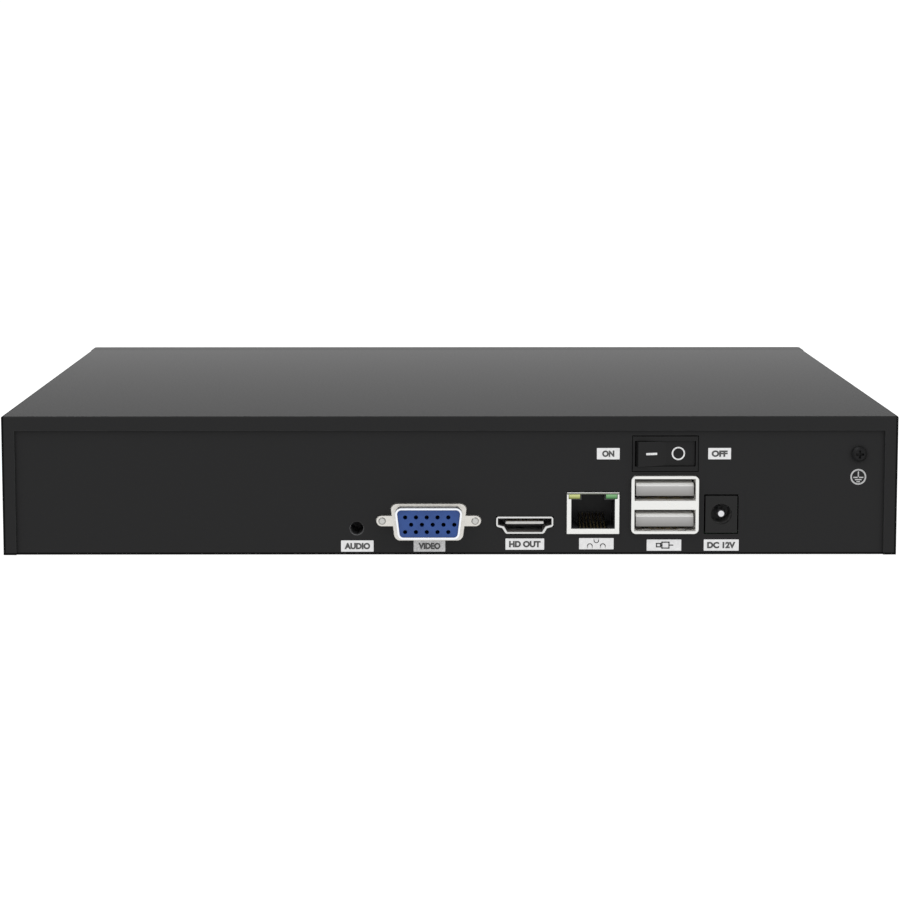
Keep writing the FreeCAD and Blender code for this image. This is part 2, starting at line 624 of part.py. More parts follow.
def light_pipes():
    """Three clear rods that carry the status lamps' light to the bezel."""
    pipes = []
    start = f"({TRAY_FRONT} - pipe_setback)"
    for number in range(STATUS_LAMPS):
        at = (f"lamp_left + {number} * lamp_pitch", start, "lamp_height")
        pipes.append(rod(f"pipe_{number}", at, "lamp_radius", f"front_face - {start}", "y"))
    piece(group("pipes", pipes), "light_pipes")


def front_lamp_board():
    """Small upright board behind the bezel with a diode at the end of each light pipe."""
    face = f"({TRAY_FRONT} - diode_front - diode_depth)"
    diodes = []
    for number in range(STATUS_LAMPS):
        centre = f"(lamp_left + {number} * lamp_pitch)"
        diodes.append(block(f"diode_{number}", around(centre, "diode_half"),
                            (face, f"{face} + diode_depth"), around("lamp_height", "diode_rise")))
    span = ("lamp_left - lamp_board_margin",
            f"lamp_left + {STATUS_LAMPS - 1} * lamp_pitch + lamp_board_margin")
    board = block("lamp_board", span, (f"{face} - lamp_board_thick", face),
                  (FLOOR, "lamp_height + lamp_board_rise"))
    piece(plus("lamp_board_set", [board] + diodes), "front_lamp_board")


def rubber_feet():
    """Four tapered feet, each with a shallow dish where it meets the table."""
    feet = []
    spots = [(side, y) for side in (-1, 1) for y in ("foot_rear", "foot_front")]
    for number, (side, y) in enumerate(spots):
        at = (f"{side} * foot_side", y, "0")
        disc = cone(f"foot_disc_{number}", at, "foot_radius - foot_taper", "foot_radius", "foot_height")
        dish = rod(f"foot_dish_{number}", at, "foot_dish", "dish_depth")
        feet.append(minus(f"foot_{number}", disc, [dish]))
    piece(group("feet", feet), "rubber_feet")


def cross_recess(name, at, axis):
    """Two crossed bars that cut a drive recess in a screw head that faces along X or Y."""
    half = "recess_length / 2"
    thin = "recess_width / 2"
    sink = around(at["xy".index(axis)], "recess_depth")
    bars = []
    for turn, (level, rise) in enumerate(((thin, half), (half, thin))):
        sideways = around(at[1 if axis == "x" else 0], level)
        x, y = (sink, sideways) if axis == "x" else (sideways, sink)
        bars.append(block(f"{name}_{turn}", x, y, around(at[2], rise)))
    return bars


def cover_screws():
    """Countersunk screws that hold the cover to the tray, two on each side."""
    screws = []
    for number, (side, y) in enumerate(SCREW_SPOTS):
        at = (f"{side} * {WIDE}", y, "cover_screw_height")
        head = cone(f"cover_head_{number}", at, "screw_head", "screw_shank", "screw_sink", inward(side))
        shank = rod(f"cover_shank_{number}", at, "screw_shank", "screw_length", inward(side))
        blank = plus(f"cover_blank_{number}", [head, shank])
        screws.append(minus(f"cover_screw_{number}", blank, cross_recess(f"cover_recess_{number}", at, "x")))
    piece(group("cover_screw_set", screws), "cover_screws")


def ground_terminal():
    """Pan-head earth screw on the socket panel and the clinch nut behind it."""
    def spot(back):
        return ("ground_x", back, "ground_height")

    face = f"({PANEL} - ground_rim - ground_crown)"
    crown = cone("ground_crown", spot(face), "ground_head - head_taper", "ground_head", "ground_crown", "y")
    rim = rod("ground_rim", spot(f"{PANEL} - ground_rim"), "ground_head", "ground_rim", "y")
    shank = rod("ground_shank", spot(f"{PANEL} - hole_gap"), "ground_shank", "ground_length", "y")
    blank = plus("ground_blank", [crown, rim, shank])
    piece(minus("ground", blank, cross_recess("ground_recess", spot(face), "y")), "ground_screw")
    nut = rod("nut_blank", spot(PANEL_BACK), "nut_radius", "nut_thick", "y")
    bore = rod("nut_bore", spot(PANEL_BACK), "ground_shank + thread_gap", "nut_thick", "y")
    piece(minus("nut", nut, [bore]), "ground_nut")


# ---------------------------------------------------------------- board and what it carries

BOARD_MOUNTS = [(x, y) for x in ("mount_left", "mount_middle", "mount_right")
                for y in ("mount_rear", "mount_front")]


def main_board():
    """The board, notched at its rear edge for the audio socket."""
    body = new_body("board_body")
    notch = around("audio_x", "audio_width / 2 + board_gap")
    notch_end = f"({PANEL_BACK} + audio_depth + board_gap)"
    outline = [
        ("board_left", "board_rear"), (notch[0], "board_rear"), (notch[0], notch_end),
        (notch[1], notch_end), (notch[1], "board_rear"), ("board_right", "board_rear"),
        ("board_right", "board_front"), ("board_left", "board_front"),
    ]
    holes = [("circle", x, y, "screw_shank + hole_gap") for x, y in BOARD_MOUNTS]
    pad(body, "laminate", "XY_Plane", (f"{BOARD} - board_thickness", BOARD), [outline] + holes)
    piece(body, "main_board")


def board_fixings():
    """Standoffs pressed into the floor, and the screws that hold the board on them."""
    standoffs = []
    screws = []
    length = "(board_thickness + standoff_height - shank_gap)"
    for number, (x, y) in enumerate(BOARD_MOUNTS):
        post = rod(f"post_{number}", (x, y, FLOOR), "standoff_radius", "standoff_height")
        bore = rod(f"post_bore_{number}", (x, y, FLOOR), "screw_shank + thread_gap", "standoff_height")
        standoffs.append(minus(f"standoff_{number}", post, [bore]))
        head = cone(f"board_head_{number}", (x, y, BOARD), "screw_head", "screw_head - head_taper",
                    "board_head")
        shank = rod(f"board_shank_{number}", (x, y, f"{BOARD} - {length}"), "screw_shank", length)
        blank = plus(f"board_blank_{number}", [head, shank])
        slot = block(f"board_slot_{number}", around(x, "recess_length / 2"), around(y, "recess_width / 2"),
                     (f"{BOARD} + board_slot", f"{BOARD} + 2 * board_slot"))
        screws.append(minus(f"board_screw_{number}", blank, [slot]))
    piece(group("standoff_set", standoffs), "board_standoffs")
    piece(group("board_screw_set", screws), "board_screws")


def chip(name, centre, half, height):
    """A block that stands on the board, sized by its half widths and its height."""
    return block(name, around(centre[0], half[0]), around(centre[1], half[1]),
                 (BOARD, f"{BOARD} + {height}"))


def processor():
    """Processor, thermal pad and finned heat sink, stacked."""
    centre = ("processor_x", "processor_y")
    piece(chip("processor_block", centre, ("processor_half", "processor_half"), "processor_high"),
          "processor_chip")
    pad_low = f"({BOARD} + processor_high)"
    base = f"({pad_low} + pad_high)"
    piece(block("pad_block", around(centre[0], "pad_half"), around(centre[1], "pad_half"),
                (pad_low, base)), "thermal_pad")
    depth = around(centre[1], "sink_half")
    plate = block("sink_plate", around(centre[0], "sink_half"), depth, (base, f"{base} + sink_base"))
    fins = []
    for number in range(SINK_FINS):
        left = f"{centre[0]} - sink_half + {number} * (2 * sink_half - fin_thick) / {SINK_FINS - 1}"
        fins.append(block(f"fin_{number}", (left, f"{left} + fin_thick"), depth,
                          (base, f"{base} + sink_base + fin_high")))
    piece(plus("sink", [plate] + fins), "heat_sink")


def board_components():
    """Memory, flash, coils and capacitors."""
    memory = []
    coils = []
    for number in range(2):
        memory.append(chip(f"memory_{number}", ("memory_x", f"memory_y + {number} * memory_pitch"),
                           ("memory_half", "memory_side"), "memory_high"))
        coils.append(chip(f"coil_{number}", (f"coil_x + {number} * coil_pitch", "coil_y"),
                          ("coil_half", "coil_half"), "coil_high"))
    piece(group("memory_set", memory), "memory_chips")
    piece(chip("flash_block", ("flash_x", "flash_y"), ("flash_half", "flash_side"), "flash_high"),
          "flash_chip")
    piece(group("coil_set", coils), "power_coils")
    cans = []
    for number in range(4):
        spot = (f"can_x + {number} * can_pitch", "can_y")
        foot = chip(f"can_foot_{number}", spot, ("can_foot", "can_foot"), "can_foot_high")
        can = rod(f"can_body_{number}", (*spot, BOARD), "can_radius", "can_high")
        cans.append(plus(f"can_{number}", [foot, can]))
    piece(group("can_set", cans), "capacitors")


def clock_cell():
    """Round clock battery in its notched holder."""
    spot = ("cell_x", "cell_y")
    floor = f"({BOARD} + holder_floor)"
    dish = rod("holder_dish", (*spot, BOARD), "holder_radius", "holder_high")
    hollow = rod("holder_hollow", (*spot, floor), "cell_radius + cell_gap", "holder_high")
    notch = block("holder_notch", (spot[0], f"{spot[0]} + holder_reach"), around(spot[1], "holder_notch"),
                  (floor, f"{floor} + holder_high"))
    piece(minus("holder", dish, [hollow, notch]), "cell_holder")
    piece(rod("cell_disc", (*spot, floor), "cell_radius", "cell_high"), "coin_cell")


def sounder():
    spot = ("sounder_x", "sounder_y")
    can = rod("sounder_can", (*spot, BOARD), "sounder_radius", "sounder_high")
    vent = rod("sounder_vent", (*spot, f"{BOARD} + sounder_high - sounder_well"), "sounder_vent",
               "sounder_well")
    piece(minus("sounder", can, [vent]), "buzzer")


# ---------------------------------------------------------------- rear sockets

def audio_socket():
    """Round plug socket sunk into a notch of the board, with its two leaf contacts."""
    body = new_body("audio_body")
    top = "(audio_height + audio_rise)"
    shape = rectangle(around("audio_x", "audio_width / 2"), (f"{BOARD} - audio_wall", top))
    span = (PANEL_BACK, f"{PANEL_BACK} + audio_depth")
    pad(body, "audio_block", "XZ_Plane", span, [shape])
    bore = [("circle", "audio_x", "audio_height", "audio_bore")]
    pocket(body, "audio_bore_cut", "XZ_Plane", (span[0], f"{span[1]} - audio_wall"), bore)
    piece(body, "audio_jack_body")
    leaves = []
    for side in (-1, 1):
        leaves.append(block(f"audio_leaf_{side}", around(f"audio_x + {side} * leaf_side", "leaf_half"),
                            (f"{PANEL_BACK} + leaf_start", f"{PANEL_BACK} + leaf_end"),
                            (top, f"{top} + leaf_thick")))
    piece(group("audio_leaves", leaves), "audio_jack_contacts")


def video_socket():
    """Plated face and shell of the fifteen-hole video socket, and the rivets in its ears."""
    def at_mouth(edge):
        return runs_back(edge) and near(edge.BoundBox.YMin, "video_tip")

    def inside(edge):
        return at_mouth(edge) and near(edge.BoundBox.YMax, f"{PANEL_BACK} + sheet")

    def outside(edge):
        return at_mouth(edge) and near(edge.BoundBox.YMax, f"{PANEL} - face_proud")

    body = new_body("video_body")
    back = rectangle(around("video_x", "back_half"), around("video_height", "back_rise"))
    pad(body, "video_back", "XZ_Plane", (PANEL_BACK, f"{PANEL_BACK} + sheet"), [back])
    pad(body, "video_face", "XZ_Plane", (f"{PANEL} - face_proud", PANEL_BACK), [video_face_outline("0")])
    round_video_face(body, "face", "0")
    pad(body, "video_shell", "XZ_Plane", ("video_tip", PANEL), [tapered_d("-shell_side", "-shell_rise")])
    hollow = tapered_d("-shell_side - shell_wall", "-shell_rise - shell_wall")
    pocket(body, "shell_hollow", "XZ_Plane", ("video_tip", f"{PANEL_BACK} + sheet"), [hollow])
    round_edges(body, "hollow_corners", "video_corner - shell_wall", inside)
    round_edges(body, "shell_corners", "video_corner", outside)
    piece(body, "video_socket_shell")
    rivets = []
    for side in (-1, 1):
        at = (f"video_x + {side} * ear_spacing / 2", f"{PANEL} - face_proud - rivet_proud", "video_height")
        rivets.append(cone(f"rivet_{side}", at, "rivet_radius * 0.8", "rivet_radius", "rivet_proud", "y"))
    piece(group("rivet_pair", rivets), "video_socket_rivets")


def video_holes():
    """Three staggered rows of five contact holes."""
    middle = "(video_height - row_drop)"
    holes = []
    for row in (-1, 0, 1):
        shift = "outer_row_shift" if row else "middle_row_shift"
        for column in range(-2, 3):
            x = f"video_x + {shift} + {column} * pin_pitch"
            holes.append(("circle", x, f"{middle} + {row} * row_pitch", "pin_hole"))
    return holes


def video_insert():
    """Moulded insert of the video socket with its holes, and the legs down to the board."""
    body = new_body("insert_body")
    front = "(video_tip + insert_sink)"
    neck = f"({PANEL_BACK} + sheet)"
    end = f"({PANEL_BACK} + insert_depth)"
    plug = tapered_d("-shell_side - shell_wall - insert_gap", "-shell_rise - shell_wall - insert_gap")
    pad(body, "insert_plug", "XZ_Plane", (front, neck), [plug])
    round_edges(body, "insert_corners", "video_corner - shell_wall - insert_gap", runs_back)
    behind = rectangle(around("video_x", "back_half - 0.4"), (BOARD, "video_height + back_rise"))
    pad(body, "insert_back", "XZ_Plane", (neck, end), [behind])
    pocket(body, "insert_holes", "XZ_Plane", (front, PANEL), video_holes())
    piece(body, "video_socket_insert")
    legs = []
    for number in range(15):
        legs.append(block(f"video_leg_{number}", around(f"video_x + {number - 7} * leg_pitch", "leg_half"),
                          (end, f"{end} + 2 * leg_half"), (BOARD, "video_height + leg_high")))
    piece(group("video_legs", legs), "video_socket_contacts")


def monitor_socket():
    """Flat nineteen-contact monitor socket."""
    body = new_body("monitor_body")
    front = f"({PANEL} - monitor_proud)"
    back = f"({PANEL} + monitor_depth)"
    root = (f"({back} - monitor_wall - holder_depth)", f"({back} - monitor_wall)")
    pad(body, "monitor_block", "XZ_Plane", (front, back), [monitor_outline("0")])
    round_edges(body, "monitor_corners", "monitor_corner", runs_back)
    pocket(body, "monitor_hollow", "XZ_Plane", (front, root[1]), [monitor_outline("-monitor_wall")])
    piece(body, "monitor_socket_shell")
    blade = ("monitor_height + tongue_low", "monitor_height + tongue_high")
    tongue = block("monitor_tongue", around("monitor_x", "tongue_half"),
                   (f"{PANEL} + tongue_sink", root[1]), blade)
    holder = block("monitor_holder", around("monitor_x", "monitor_base - monitor_wall"), root,
                   ("monitor_height - holder_low", "monitor_height + holder_top"))
    piece(plus("monitor_insert", [tongue, holder]), "monitor_socket_tongue")
    sides = [(blade[1], f"{blade[1]} + strip_thick"), (f"{blade[0]} - strip_thick", blade[0])]
    strips = []
    for number in range(19):
        x = f"monitor_x + {number - 9} * strip_pitch"
        strips.append(block(f"monitor_strip_{number}", around(x, "strip_half"),
                            (f"{PANEL} + strip_start", root[0]), sides[number % 2]))
    piece(group("monitor_strips", strips), "monitor_socket_contacts")


NETWORK_FRONT = f"({PANEL} - network_proud)"
NETWORK_LIP = f"({PANEL} + network_sink)"
NETWORK_END = f"({NETWORK_FRONT} + network_depth)"
NETWORK_TOP = "(network_high - network_rim)"


def network_lamp(side, gap):
    """The outline of a status lamp under the top edge, at the left (-1) or right (1)."""
    outer = f"(network_half - network_rim - ({gap}))"
    inner = f"(network_half - network_rim - network_lamp + ({gap}))"
    edges = sorted((side, -side))
    reach = [f"network_x + {side} * {inner}", f"network_x + {side} * {outer}"]
    across = reach if edges[0] != side else reach[::-1]
    return rectangle(across, (f"{NETWORK_TOP} - network_lamp_high + ({gap})", f"{NETWORK_TOP} - ({gap})"))


def network_socket():
    """Metal shield of the eight-contact network socket, open at the back."""
    body = new_body("network_body")
    outer = rectangle(around("network_x", "network_half"), ("network_low", "network_high"))
    pad(body, "network_block", "XZ_Plane", (NETWORK_FRONT, NETWORK_END), [outer])
    mouth = rectangle(around("network_x", "plug_half"), ("plug_low", NETWORK_TOP))
    pocket(body, "network_mouth", "XZ_Plane", (NETWORK_FRONT, NETWORK_LIP), [mouth])
    for side in (-1, 1):
        window = network_lamp(side, "0")
        pocket(body, f"lamp_window_{side + 1}", "XZ_Plane", (NETWORK_FRONT, NETWORK_LIP), [window])
    inner = rectangle(around("network_x", "network_half - network_wall"),
                      ("network_low + network_wall", "network_high - network_wall"))
    pocket(body, "network_hollow", "XZ_Plane", (NETWORK_LIP, NETWORK_END), [inner])
    piece(body, "network_socket_shield")


def network_housing():
    """Moulded housing of the network socket, its spring contacts and its two lamps."""
    body = new_body("network_housing_body")
    wall = "(network_wall + lamp_gap)"
    core = rectangle(around("network_x", f"network_half - {wall}"),
                     (f"network_low + {wall}", f"network_high - {wall}"))
    lamp_end = f"({NETWORK_LIP} + network_lamp_depth)"
    pad(body, "core", "XZ_Plane", (NETWORK_LIP, f"{NETWORK_END} - lamp_shade"), [core])
    plug = rectangle(around("network_x", "plug_half"), ("plug_low", "plug_high"))
    pocket(body, "plug_cavity", "XZ_Plane", (NETWORK_LIP, f"{NETWORK_LIP} + plug_depth"), [plug])
    latch = rectangle(around("network_x", "latch_half"), ("plug_high - hole_gap", "latch_high"))
    pocket(body, "latch_cavity", "XZ_Plane", (NETWORK_LIP, f"{NETWORK_LIP} + latch_depth"), [latch])
    for side in (-1, 1):
        seat = (NETWORK_LIP, f"{lamp_end} + hole_gap")
        pocket(body, f"lamp_seat_{side + 1}", "XZ_Plane", seat, [network_lamp(side, "0")])
    trough = rectangle(around("network_x", "trough_half"), ("plug_low - trough_depth", "plug_low + hole_gap"))
    pocket(body, "contact_trough", "XZ_Plane",
           (f"{NETWORK_LIP} + trough_start", f"{NETWORK_LIP} + trough_end"), [trough])
    piece(body, "network_socket_housing")
    lamps = []
    for side in (-1, 1):
        (left, low), _, (right, high), _ = network_lamp(side, "lamp_gap")
        lamps.append(block(f"network_lamp_{side + 1}", (left, right),
                           (f"{NETWORK_FRONT} + lamp_shade", lamp_end), (low, high)))
    piece(group("network_lamp_pair", lamps), "network_socket_lamps")


def network_contacts():
    """Eight spring wires that rise from the floor of the plug cavity."""
    root = f"({NETWORK_LIP} + 1)"
    tip = f"({NETWORK_LIP} + contact_tip)"
    path = [(root, "plug_low - 0.5"), (root, "plug_low - 0.1"),
            (tip, "plug_low + contact_rise"), (f"{tip} + 0.8", "plug_low + contact_rise - 0.4")]
    wires = []
    for number in range(8):
        wire = new_body(f"wire_{number}")
        x = f"(network_x + {number - 3.5} * contact_pitch)"
        pad(wire, f"wire_pad_{number}", "YZ_Plane", around(x, "contact_half"), [path])
        wires.append(wire)
    piece(group("wire_set", wires), "network_socket_contacts")


SERIAL_FRONT = f"({PANEL} - serial_proud)"
SERIAL_END = f"({SERIAL_FRONT} + serial_depth)"
SERIAL_PORTS = [("serial_bar_high", "(serial_high - serial_rim)"),
                ("(serial_low + serial_rim)", "serial_bar_low")]


def serial_sockets():
    """Shield around two stacked serial sockets, with spring windows in the lower floor."""
    body = new_body("serial_body")
    outer = rectangle(around("serial_x", "serial_half"), ("serial_low", "serial_high"))
    pad(body, "serial_block", "XZ_Plane", (SERIAL_FRONT, SERIAL_END), [outer])
    round_edges(body, "serial_corners", "serial_corner", runs_back)
    openings = [rectangle(around("serial_x", "serial_open"), port) for port in SERIAL_PORTS]
    pocket(body, "serial_openings", "XZ_Plane", (SERIAL_FRONT, f"{SERIAL_END} - serial_back"), openings)
    springs = []
    for side in (-1, 1):
        springs.append(rectangle(around(f"serial_x + {side} * spring_side", "spring_half"),
                                 (f"{SERIAL_FRONT} + spring_start", f"{SERIAL_FRONT} + spring_end")))
    pocket(body, "spring_windows", "XY_Plane", ("serial_low", "serial_low + serial_rim"), springs)
    piece(body, "serial_socket_shield")


def serial_inserts():
    """Contact tongues of the serial sockets, each hung from a block that closes its port."""
    front = f"({SERIAL_FRONT} + serial_tongue_sink)"
    root = (f"({SERIAL_END} - serial_back - serial_root)", f"({SERIAL_END} - serial_back)")
    tongues = []
    strips = []
    for number, (floor, roof) in enumerate(SERIAL_PORTS):
        top = f"({roof} - serial_tongue_drop)"
        low = f"({top} - serial_tongue_thick)"
        blade = new_body(f"serial_blade_{number}")
        profile = [(front, low), (f"{root[1]}", low), (f"{root[1]}", top),
                   (f"{front} + serial_chamfer", top), (front, f"{top} - serial_chamfer")]
        pad(blade, f"serial_tongue_{number}", "YZ_Plane", around("serial_x", "serial_tongue"), [profile])
        block_behind = block(f"serial_root_{number}", around("serial_x", "serial_open - lamp_gap"), root,
                             (f"{floor} + lamp_gap", f"{roof} - lamp_gap"))
        tongues.append(plus(f"serial_insert_{number}", [blade, block_behind]))
        for column in range(4):
            x = f"serial_x + {column - 1.5} * serial_pitch"
            strips.append(block(f"serial_strip_{number}_{column}", around(x, "serial_strip_half"),
                                (f"{SERIAL_FRONT} + serial_strip_start", root[0]),
                                (f"{low} - serial_strip_thick", low)))
    piece(group("serial_insert_pair", tongues), "serial_socket_tongues")
    piece(group("serial_strips", strips), "serial_socket_contacts")


def power_inlet():
    """Square barrel inlet with its centre pin and solder tabs."""
    front = f"({PANEL} - power_proud)"
    end = f"({front} + power_depth)"
    well = f"({front} + power_well)"

    def spot(back):
        return ("power_x", back, "power_pin_height")

    body = new_body("power_body")
    outer = rectangle(around("power_x", "power_half"), ("power_low", "power_high"))
    pad(body, "power_block", "XZ_Plane", (front, end), [outer])
    barrel = [("circle", "power_x", "power_pin_height", "power_bore")]
    pocket(body, "barrel", "XZ_Plane", (front, well), barrel)
    seat = [("circle", "power_x", "power_pin_height", "power_root")]
    pocket(body, "pin_seat", "XZ_Plane", (f"{well} - 0.1", f"{well} + power_root_length - 0.1"), seat)
    piece(body, "power_inlet_housing")
    shoulder = f"({front} + power_nose_start + power_nose)"
    nose = cone("pin_nose", spot(f"{front} + power_nose_start"), "power_tip", "power_pin",
                "power_nose", "y")
    shaft = rod("pin_shaft", spot(shoulder), "power_pin", f"{well} - {shoulder}", "y")
    stub = rod("pin_root", spot(f"{well} - 0.1"), "power_root", "power_root_length", "y")
    piece(plus("pin", [nose, shaft, stub]), "power_inlet_pin")
    tabs = []
    for number in range(2):
        start = f"({end} + {number} * power_tab_pitch)"
        tabs.append(block(f"power_tab_{number}", around("power_x", "power_tab_half"),
                          (start, f"{start} + sheet"), (BOARD, "power_pin_height - 1")))
    piece(group("power_tabs", tabs), "power_inlet_tabs")


# ---------------------------------------------------------------- rocker switch

TERMINALS = (-1, 0, 1)


def switch_frame():
    """Moulded frame that stands through the panel, with a flange behind it and two bearing holes."""
    body = new_body("switch_body")
    front = f"({PANEL} - switch_proud)"
    case = rectangle(around("switch_x", "switch_half"), around("switch_height", "switch_rise"))
    pad(body, "switch_case", "XZ_Plane", (front, SWITCH_END), [case])
    reach = "switch_gap + switch_lip"
    flange = rectangle(around("switch_x", f"switch_half + {reach}"),
                       around("switch_height", f"switch_rise + {reach}"))
    pad(body, "switch_flange", "XZ_Plane", (PANEL_BACK, f"{PANEL_BACK} + switch_lip_thick"), [flange])
    window = rectangle(around("switch_x", "switch_cavity"), around("switch_height", "switch_window"))
    inside = f"({SWITCH_END} - switch_back)"
    pocket(body, "switch_cavity_cut", "XZ_Plane", (front, inside), [window])
    slots = [rectangle(around(f"switch_x + {n} * terminal_pitch", "terminal_half + terminal_gap"),
                       around("switch_height", "terminal_rise + terminal_gap")) for n in TERMINALS]
    pocket(body, "terminal_slots", "XZ_Plane", (inside, SWITCH_END), slots)
    bearing = [("circle", "switch_x", "rocker_pivot", "rocker_pin + bearing_gap")]
    pin_end = "rocker_rise + rocker_pin_length + bearing_gap"
    pocket(body, "bearings", "XY_Plane", around("switch_height", pin_end), bearing)
    piece(body, "switch_frame")


def rocker_corner(side, rise):
    """A point of the rocker's rounded end at a height along Y, measured from its pivot."""
    return Vector(side * (reading("rocker_radius") ** 2 - rise ** 2) ** 0.5, rise, 0)


def add_rocker_outline(sketch):
    """Two arcs about the pivot, the shallow V that is pressed and the back between them."""
    tip = -reading("rocker_tip")
    heel = reading("rocker_heel")
    arcs = []
    for side in (1, -1):
        reach = Vector(side * reading("rocker_radius"), 0, 0)
        arc = Part.Arc(rocker_corner(side, tip), reach, rocker_corner(side, heel))
        arcs.append(sketch.addGeometry(arc, False))
    middle = Vector(0, -reading("rocker_middle"), 0)
    waist = reading("rocker_waist")
    back = reading("rocker_back")
    front = [rocker_corner(-1, tip), middle, rocker_corner(1, tip)]
    low_corners = [Vector(waist, back, 0), Vector(-waist, back, 0)]
    behind = [rocker_corner(1, heel), *low_corners, rocker_corner(-1, heel)]
    for points in (front, behind):
        for start, end in zip(points, points[1:]):
            sketch.addGeometry(Part.LineSegment(start, end), False)
    join_curves(sketch)
    for arc in arcs:
        sketch.addConstraint(Sketcher.Constraint("Coincident", arc, 3, -1, 1))
        row = sketch.addConstraint(Sketcher.Constraint("Radius", arc, reading("rocker_radius")))
        bind(sketch, f"Constraints[{row}]", "rocker_radius")


def join_curves(sketch):
    """Ties every pair of curve ends that meet."""
    ends = [(curve, end) for curve in range(sketch.GeometryCount) for end in (1, 2)]
    for number, (curve, end) in enumerate(ends):
        for other, other_end in ends[number + 1:]:
            gap = (sketch.getPoint(curve, end) - sketch.getPoint(other, other_end)).Length
            if other != curve and gap < 1e-6:
                sketch.addConstraint(Sketcher.Constraint("Coincident", curve, end, other, other_end))


def measure_rocker(sketch):
    """Binds the free corners of the rocker's outline to the sheet."""
    first_line = 2
    measured = [
        ("DistanceY", first_line, 1, "-rocker_tip"), ("DistanceX", first_line, 2, "0"),
        ("DistanceY", first_line, 2, "-rocker_middle"), ("DistanceY", first_line + 1, 2, "-rocker_tip"),
        ("DistanceY", first_line + 2, 1, "rocker_heel"), ("DistanceX", first_line + 2, 2, "rocker_waist"),
        ("DistanceY", first_line + 2, 2, "rocker_back"), ("DistanceX", first_line + 3, 2, "-rocker_waist"),
        ("DistanceY", first_line + 3, 2, "rocker_back"), ("DistanceY", first_line + 4, 2, "rocker_heel"),
    ]
    for kind, curve, end, text in measured:
        row = sketch.addConstraint(Sketcher.Constraint(kind, -1, 1, curve, end, reading(text)))
        bind(sketch, f"Constraints[{row}]", text)


def rocker():
    """Shallow V of a rocker on two pins, drawn about its pivot and turned to its off position."""
    at = ("switch_x", "rocker_pivot", "switch_height")
    body = new_body("rocker_body")
    sketch = new_sketch(body, "rocker_sketch", "XY_Plane", "-rocker_rise", [])
    add_rocker_outline(sketch)
    measure_rocker(sketch)
    blade = body.newObject("PartDesign::Pad", "rocker_blade")
    blade.Profile = sketch
    bind(blade, "Length", "2 * rocker_rise")
    pins = [("circle", "0", "0", "rocker_pin")]
    pad(body, "rocker_pins", "XY_Plane", around("0", "rocker_rise + rocker_pin_length"), pins)
    piece(turned(body, UPWARD, "rocker_tilt", at), "switch_rocker")

    sleeve = rod("plunger_rod", ("0", "rocker_back", "0"), "plunger_radius",
                 "plunger_reach - rocker_back", "y")
    tip = DOC.addObject("Part::Sphere", "plunger_tip")
    bind(tip, "Radius", "plunger_radius")
    place(tip, ("0", "plunger_reach", "0"))
    piece(turned(plus("plunger", [sleeve, tip]), UPWARD, "rocker_tilt", at), "switch_plunger")


def switch_contacts():
    """See-saw contact lever, and the three terminals that pass through the frame."""
    rise = around("0", "lever_rise")
    blade = block("lever_blade", around("0", "lever_half"), around("0", "lever_thick / 2"), rise)
    knuckle = rod("lever_knuckle", ("0", "0", "-lever_rise"), "lever_knuckle", "2 * lever_rise")
    bore = rod("lever_bore", ("0", "0", "-lever_rise"), "lever_bore", "2 * lever_rise")
    lever = minus("lever", plus("lever_solid", [blade, knuckle]), [bore])
    at = ("switch_x", "lever_pivot", "switch_height")
    piece(turned(lever, -UPWARD, "lever_tilt", at), "switch_lever")
    tabs = []
    start = f"({SWITCH_END} - terminal_sink)"
    for n in TERMINALS:
        tabs.append(block(f"terminal_{n + 1}", around(f"switch_x + {n} * terminal_pitch", "terminal_half"),
                          (start, f"{start} + terminal_length"), around("switch_height", "terminal_rise")))
    piece(group("terminal_set", tabs), "switch_terminals")


# ---------------------------------------------------------------- disk drive

def drive_case():
    """Casting, lid and controller board of a desktop-size disk drive."""
    body = new_body("drive_body")
    plan = rectangle(("drive_left", DRIVE_RIGHT), ("drive_rear", DRIVE_FRONT))
    pad(body, "casting", "XY_Plane", (DRIVE_BASE, DRIVE_RIM), [plan])
    round_edges(body, "casting_corners", "drive_corner", stands_up)
    hollow = rectangle(("drive_left + drive_wall", f"{DRIVE_RIGHT} - drive_wall - drive_end"),
                       ("drive_rear + drive_wall", f"{DRIVE_FRONT} - drive_wall"))
    pocket(body, "casting_hollow", "XY_Plane", (DRIVE_FLOOR, DRIVE_RIM), [hollow])
    threads = [("circle", x, y, "screw_shank + thread_gap") for x, y in drive_mounts()]
    pocket(body, "casting_threads", "XY_Plane", (DRIVE_BASE, f"{DRIVE_BASE} + drive_thread"), threads)
    piece(body, "drive_casting")
    lid = new_body("lid_body")
    pad(lid, "lid_plate", "XY_Plane", (DRIVE_RIM, f"{DRIVE_RIM} + drive_lid"), [plan])
    round_edges(lid, "lid_corners", "drive_corner", stands_up)
    piece(lid, "drive_lid")
    card = block("card_plate", ("drive_left + card_left", f"{DRIVE_RIGHT} - card_right"),
                 ("drive_rear + card_rear", f"{DRIVE_FRONT} - card_front"),
                 (f"{DRIVE_BASE} - card_thick", DRIVE_BASE))
    piece(card, "drive_controller")


def drive_platters():
    """Two platters clamped on a spindle hub."""
    spot = ("spindle_x", "spindle_y")
    disks = []
    for number in range(2):
        at = (*spot, f"{STACK} + {number} * platter_pitch")
        disks.append(rod(f"platter_{number}", at, "platter_radius", "platter_thick"))
    hub = rod("spindle_hub", (*spot, f"{DRIVE_FLOOR} + hub_rise"), "hub_radius", "hub_high")
    cap = rod("spindle_cap", (*spot, f"{DRIVE_FLOOR} + hub_high"), "hub_radius - cap_step", "cap_high")
    piece(plus("platter_stack", disks + [hub, cap]), "drive_platters")


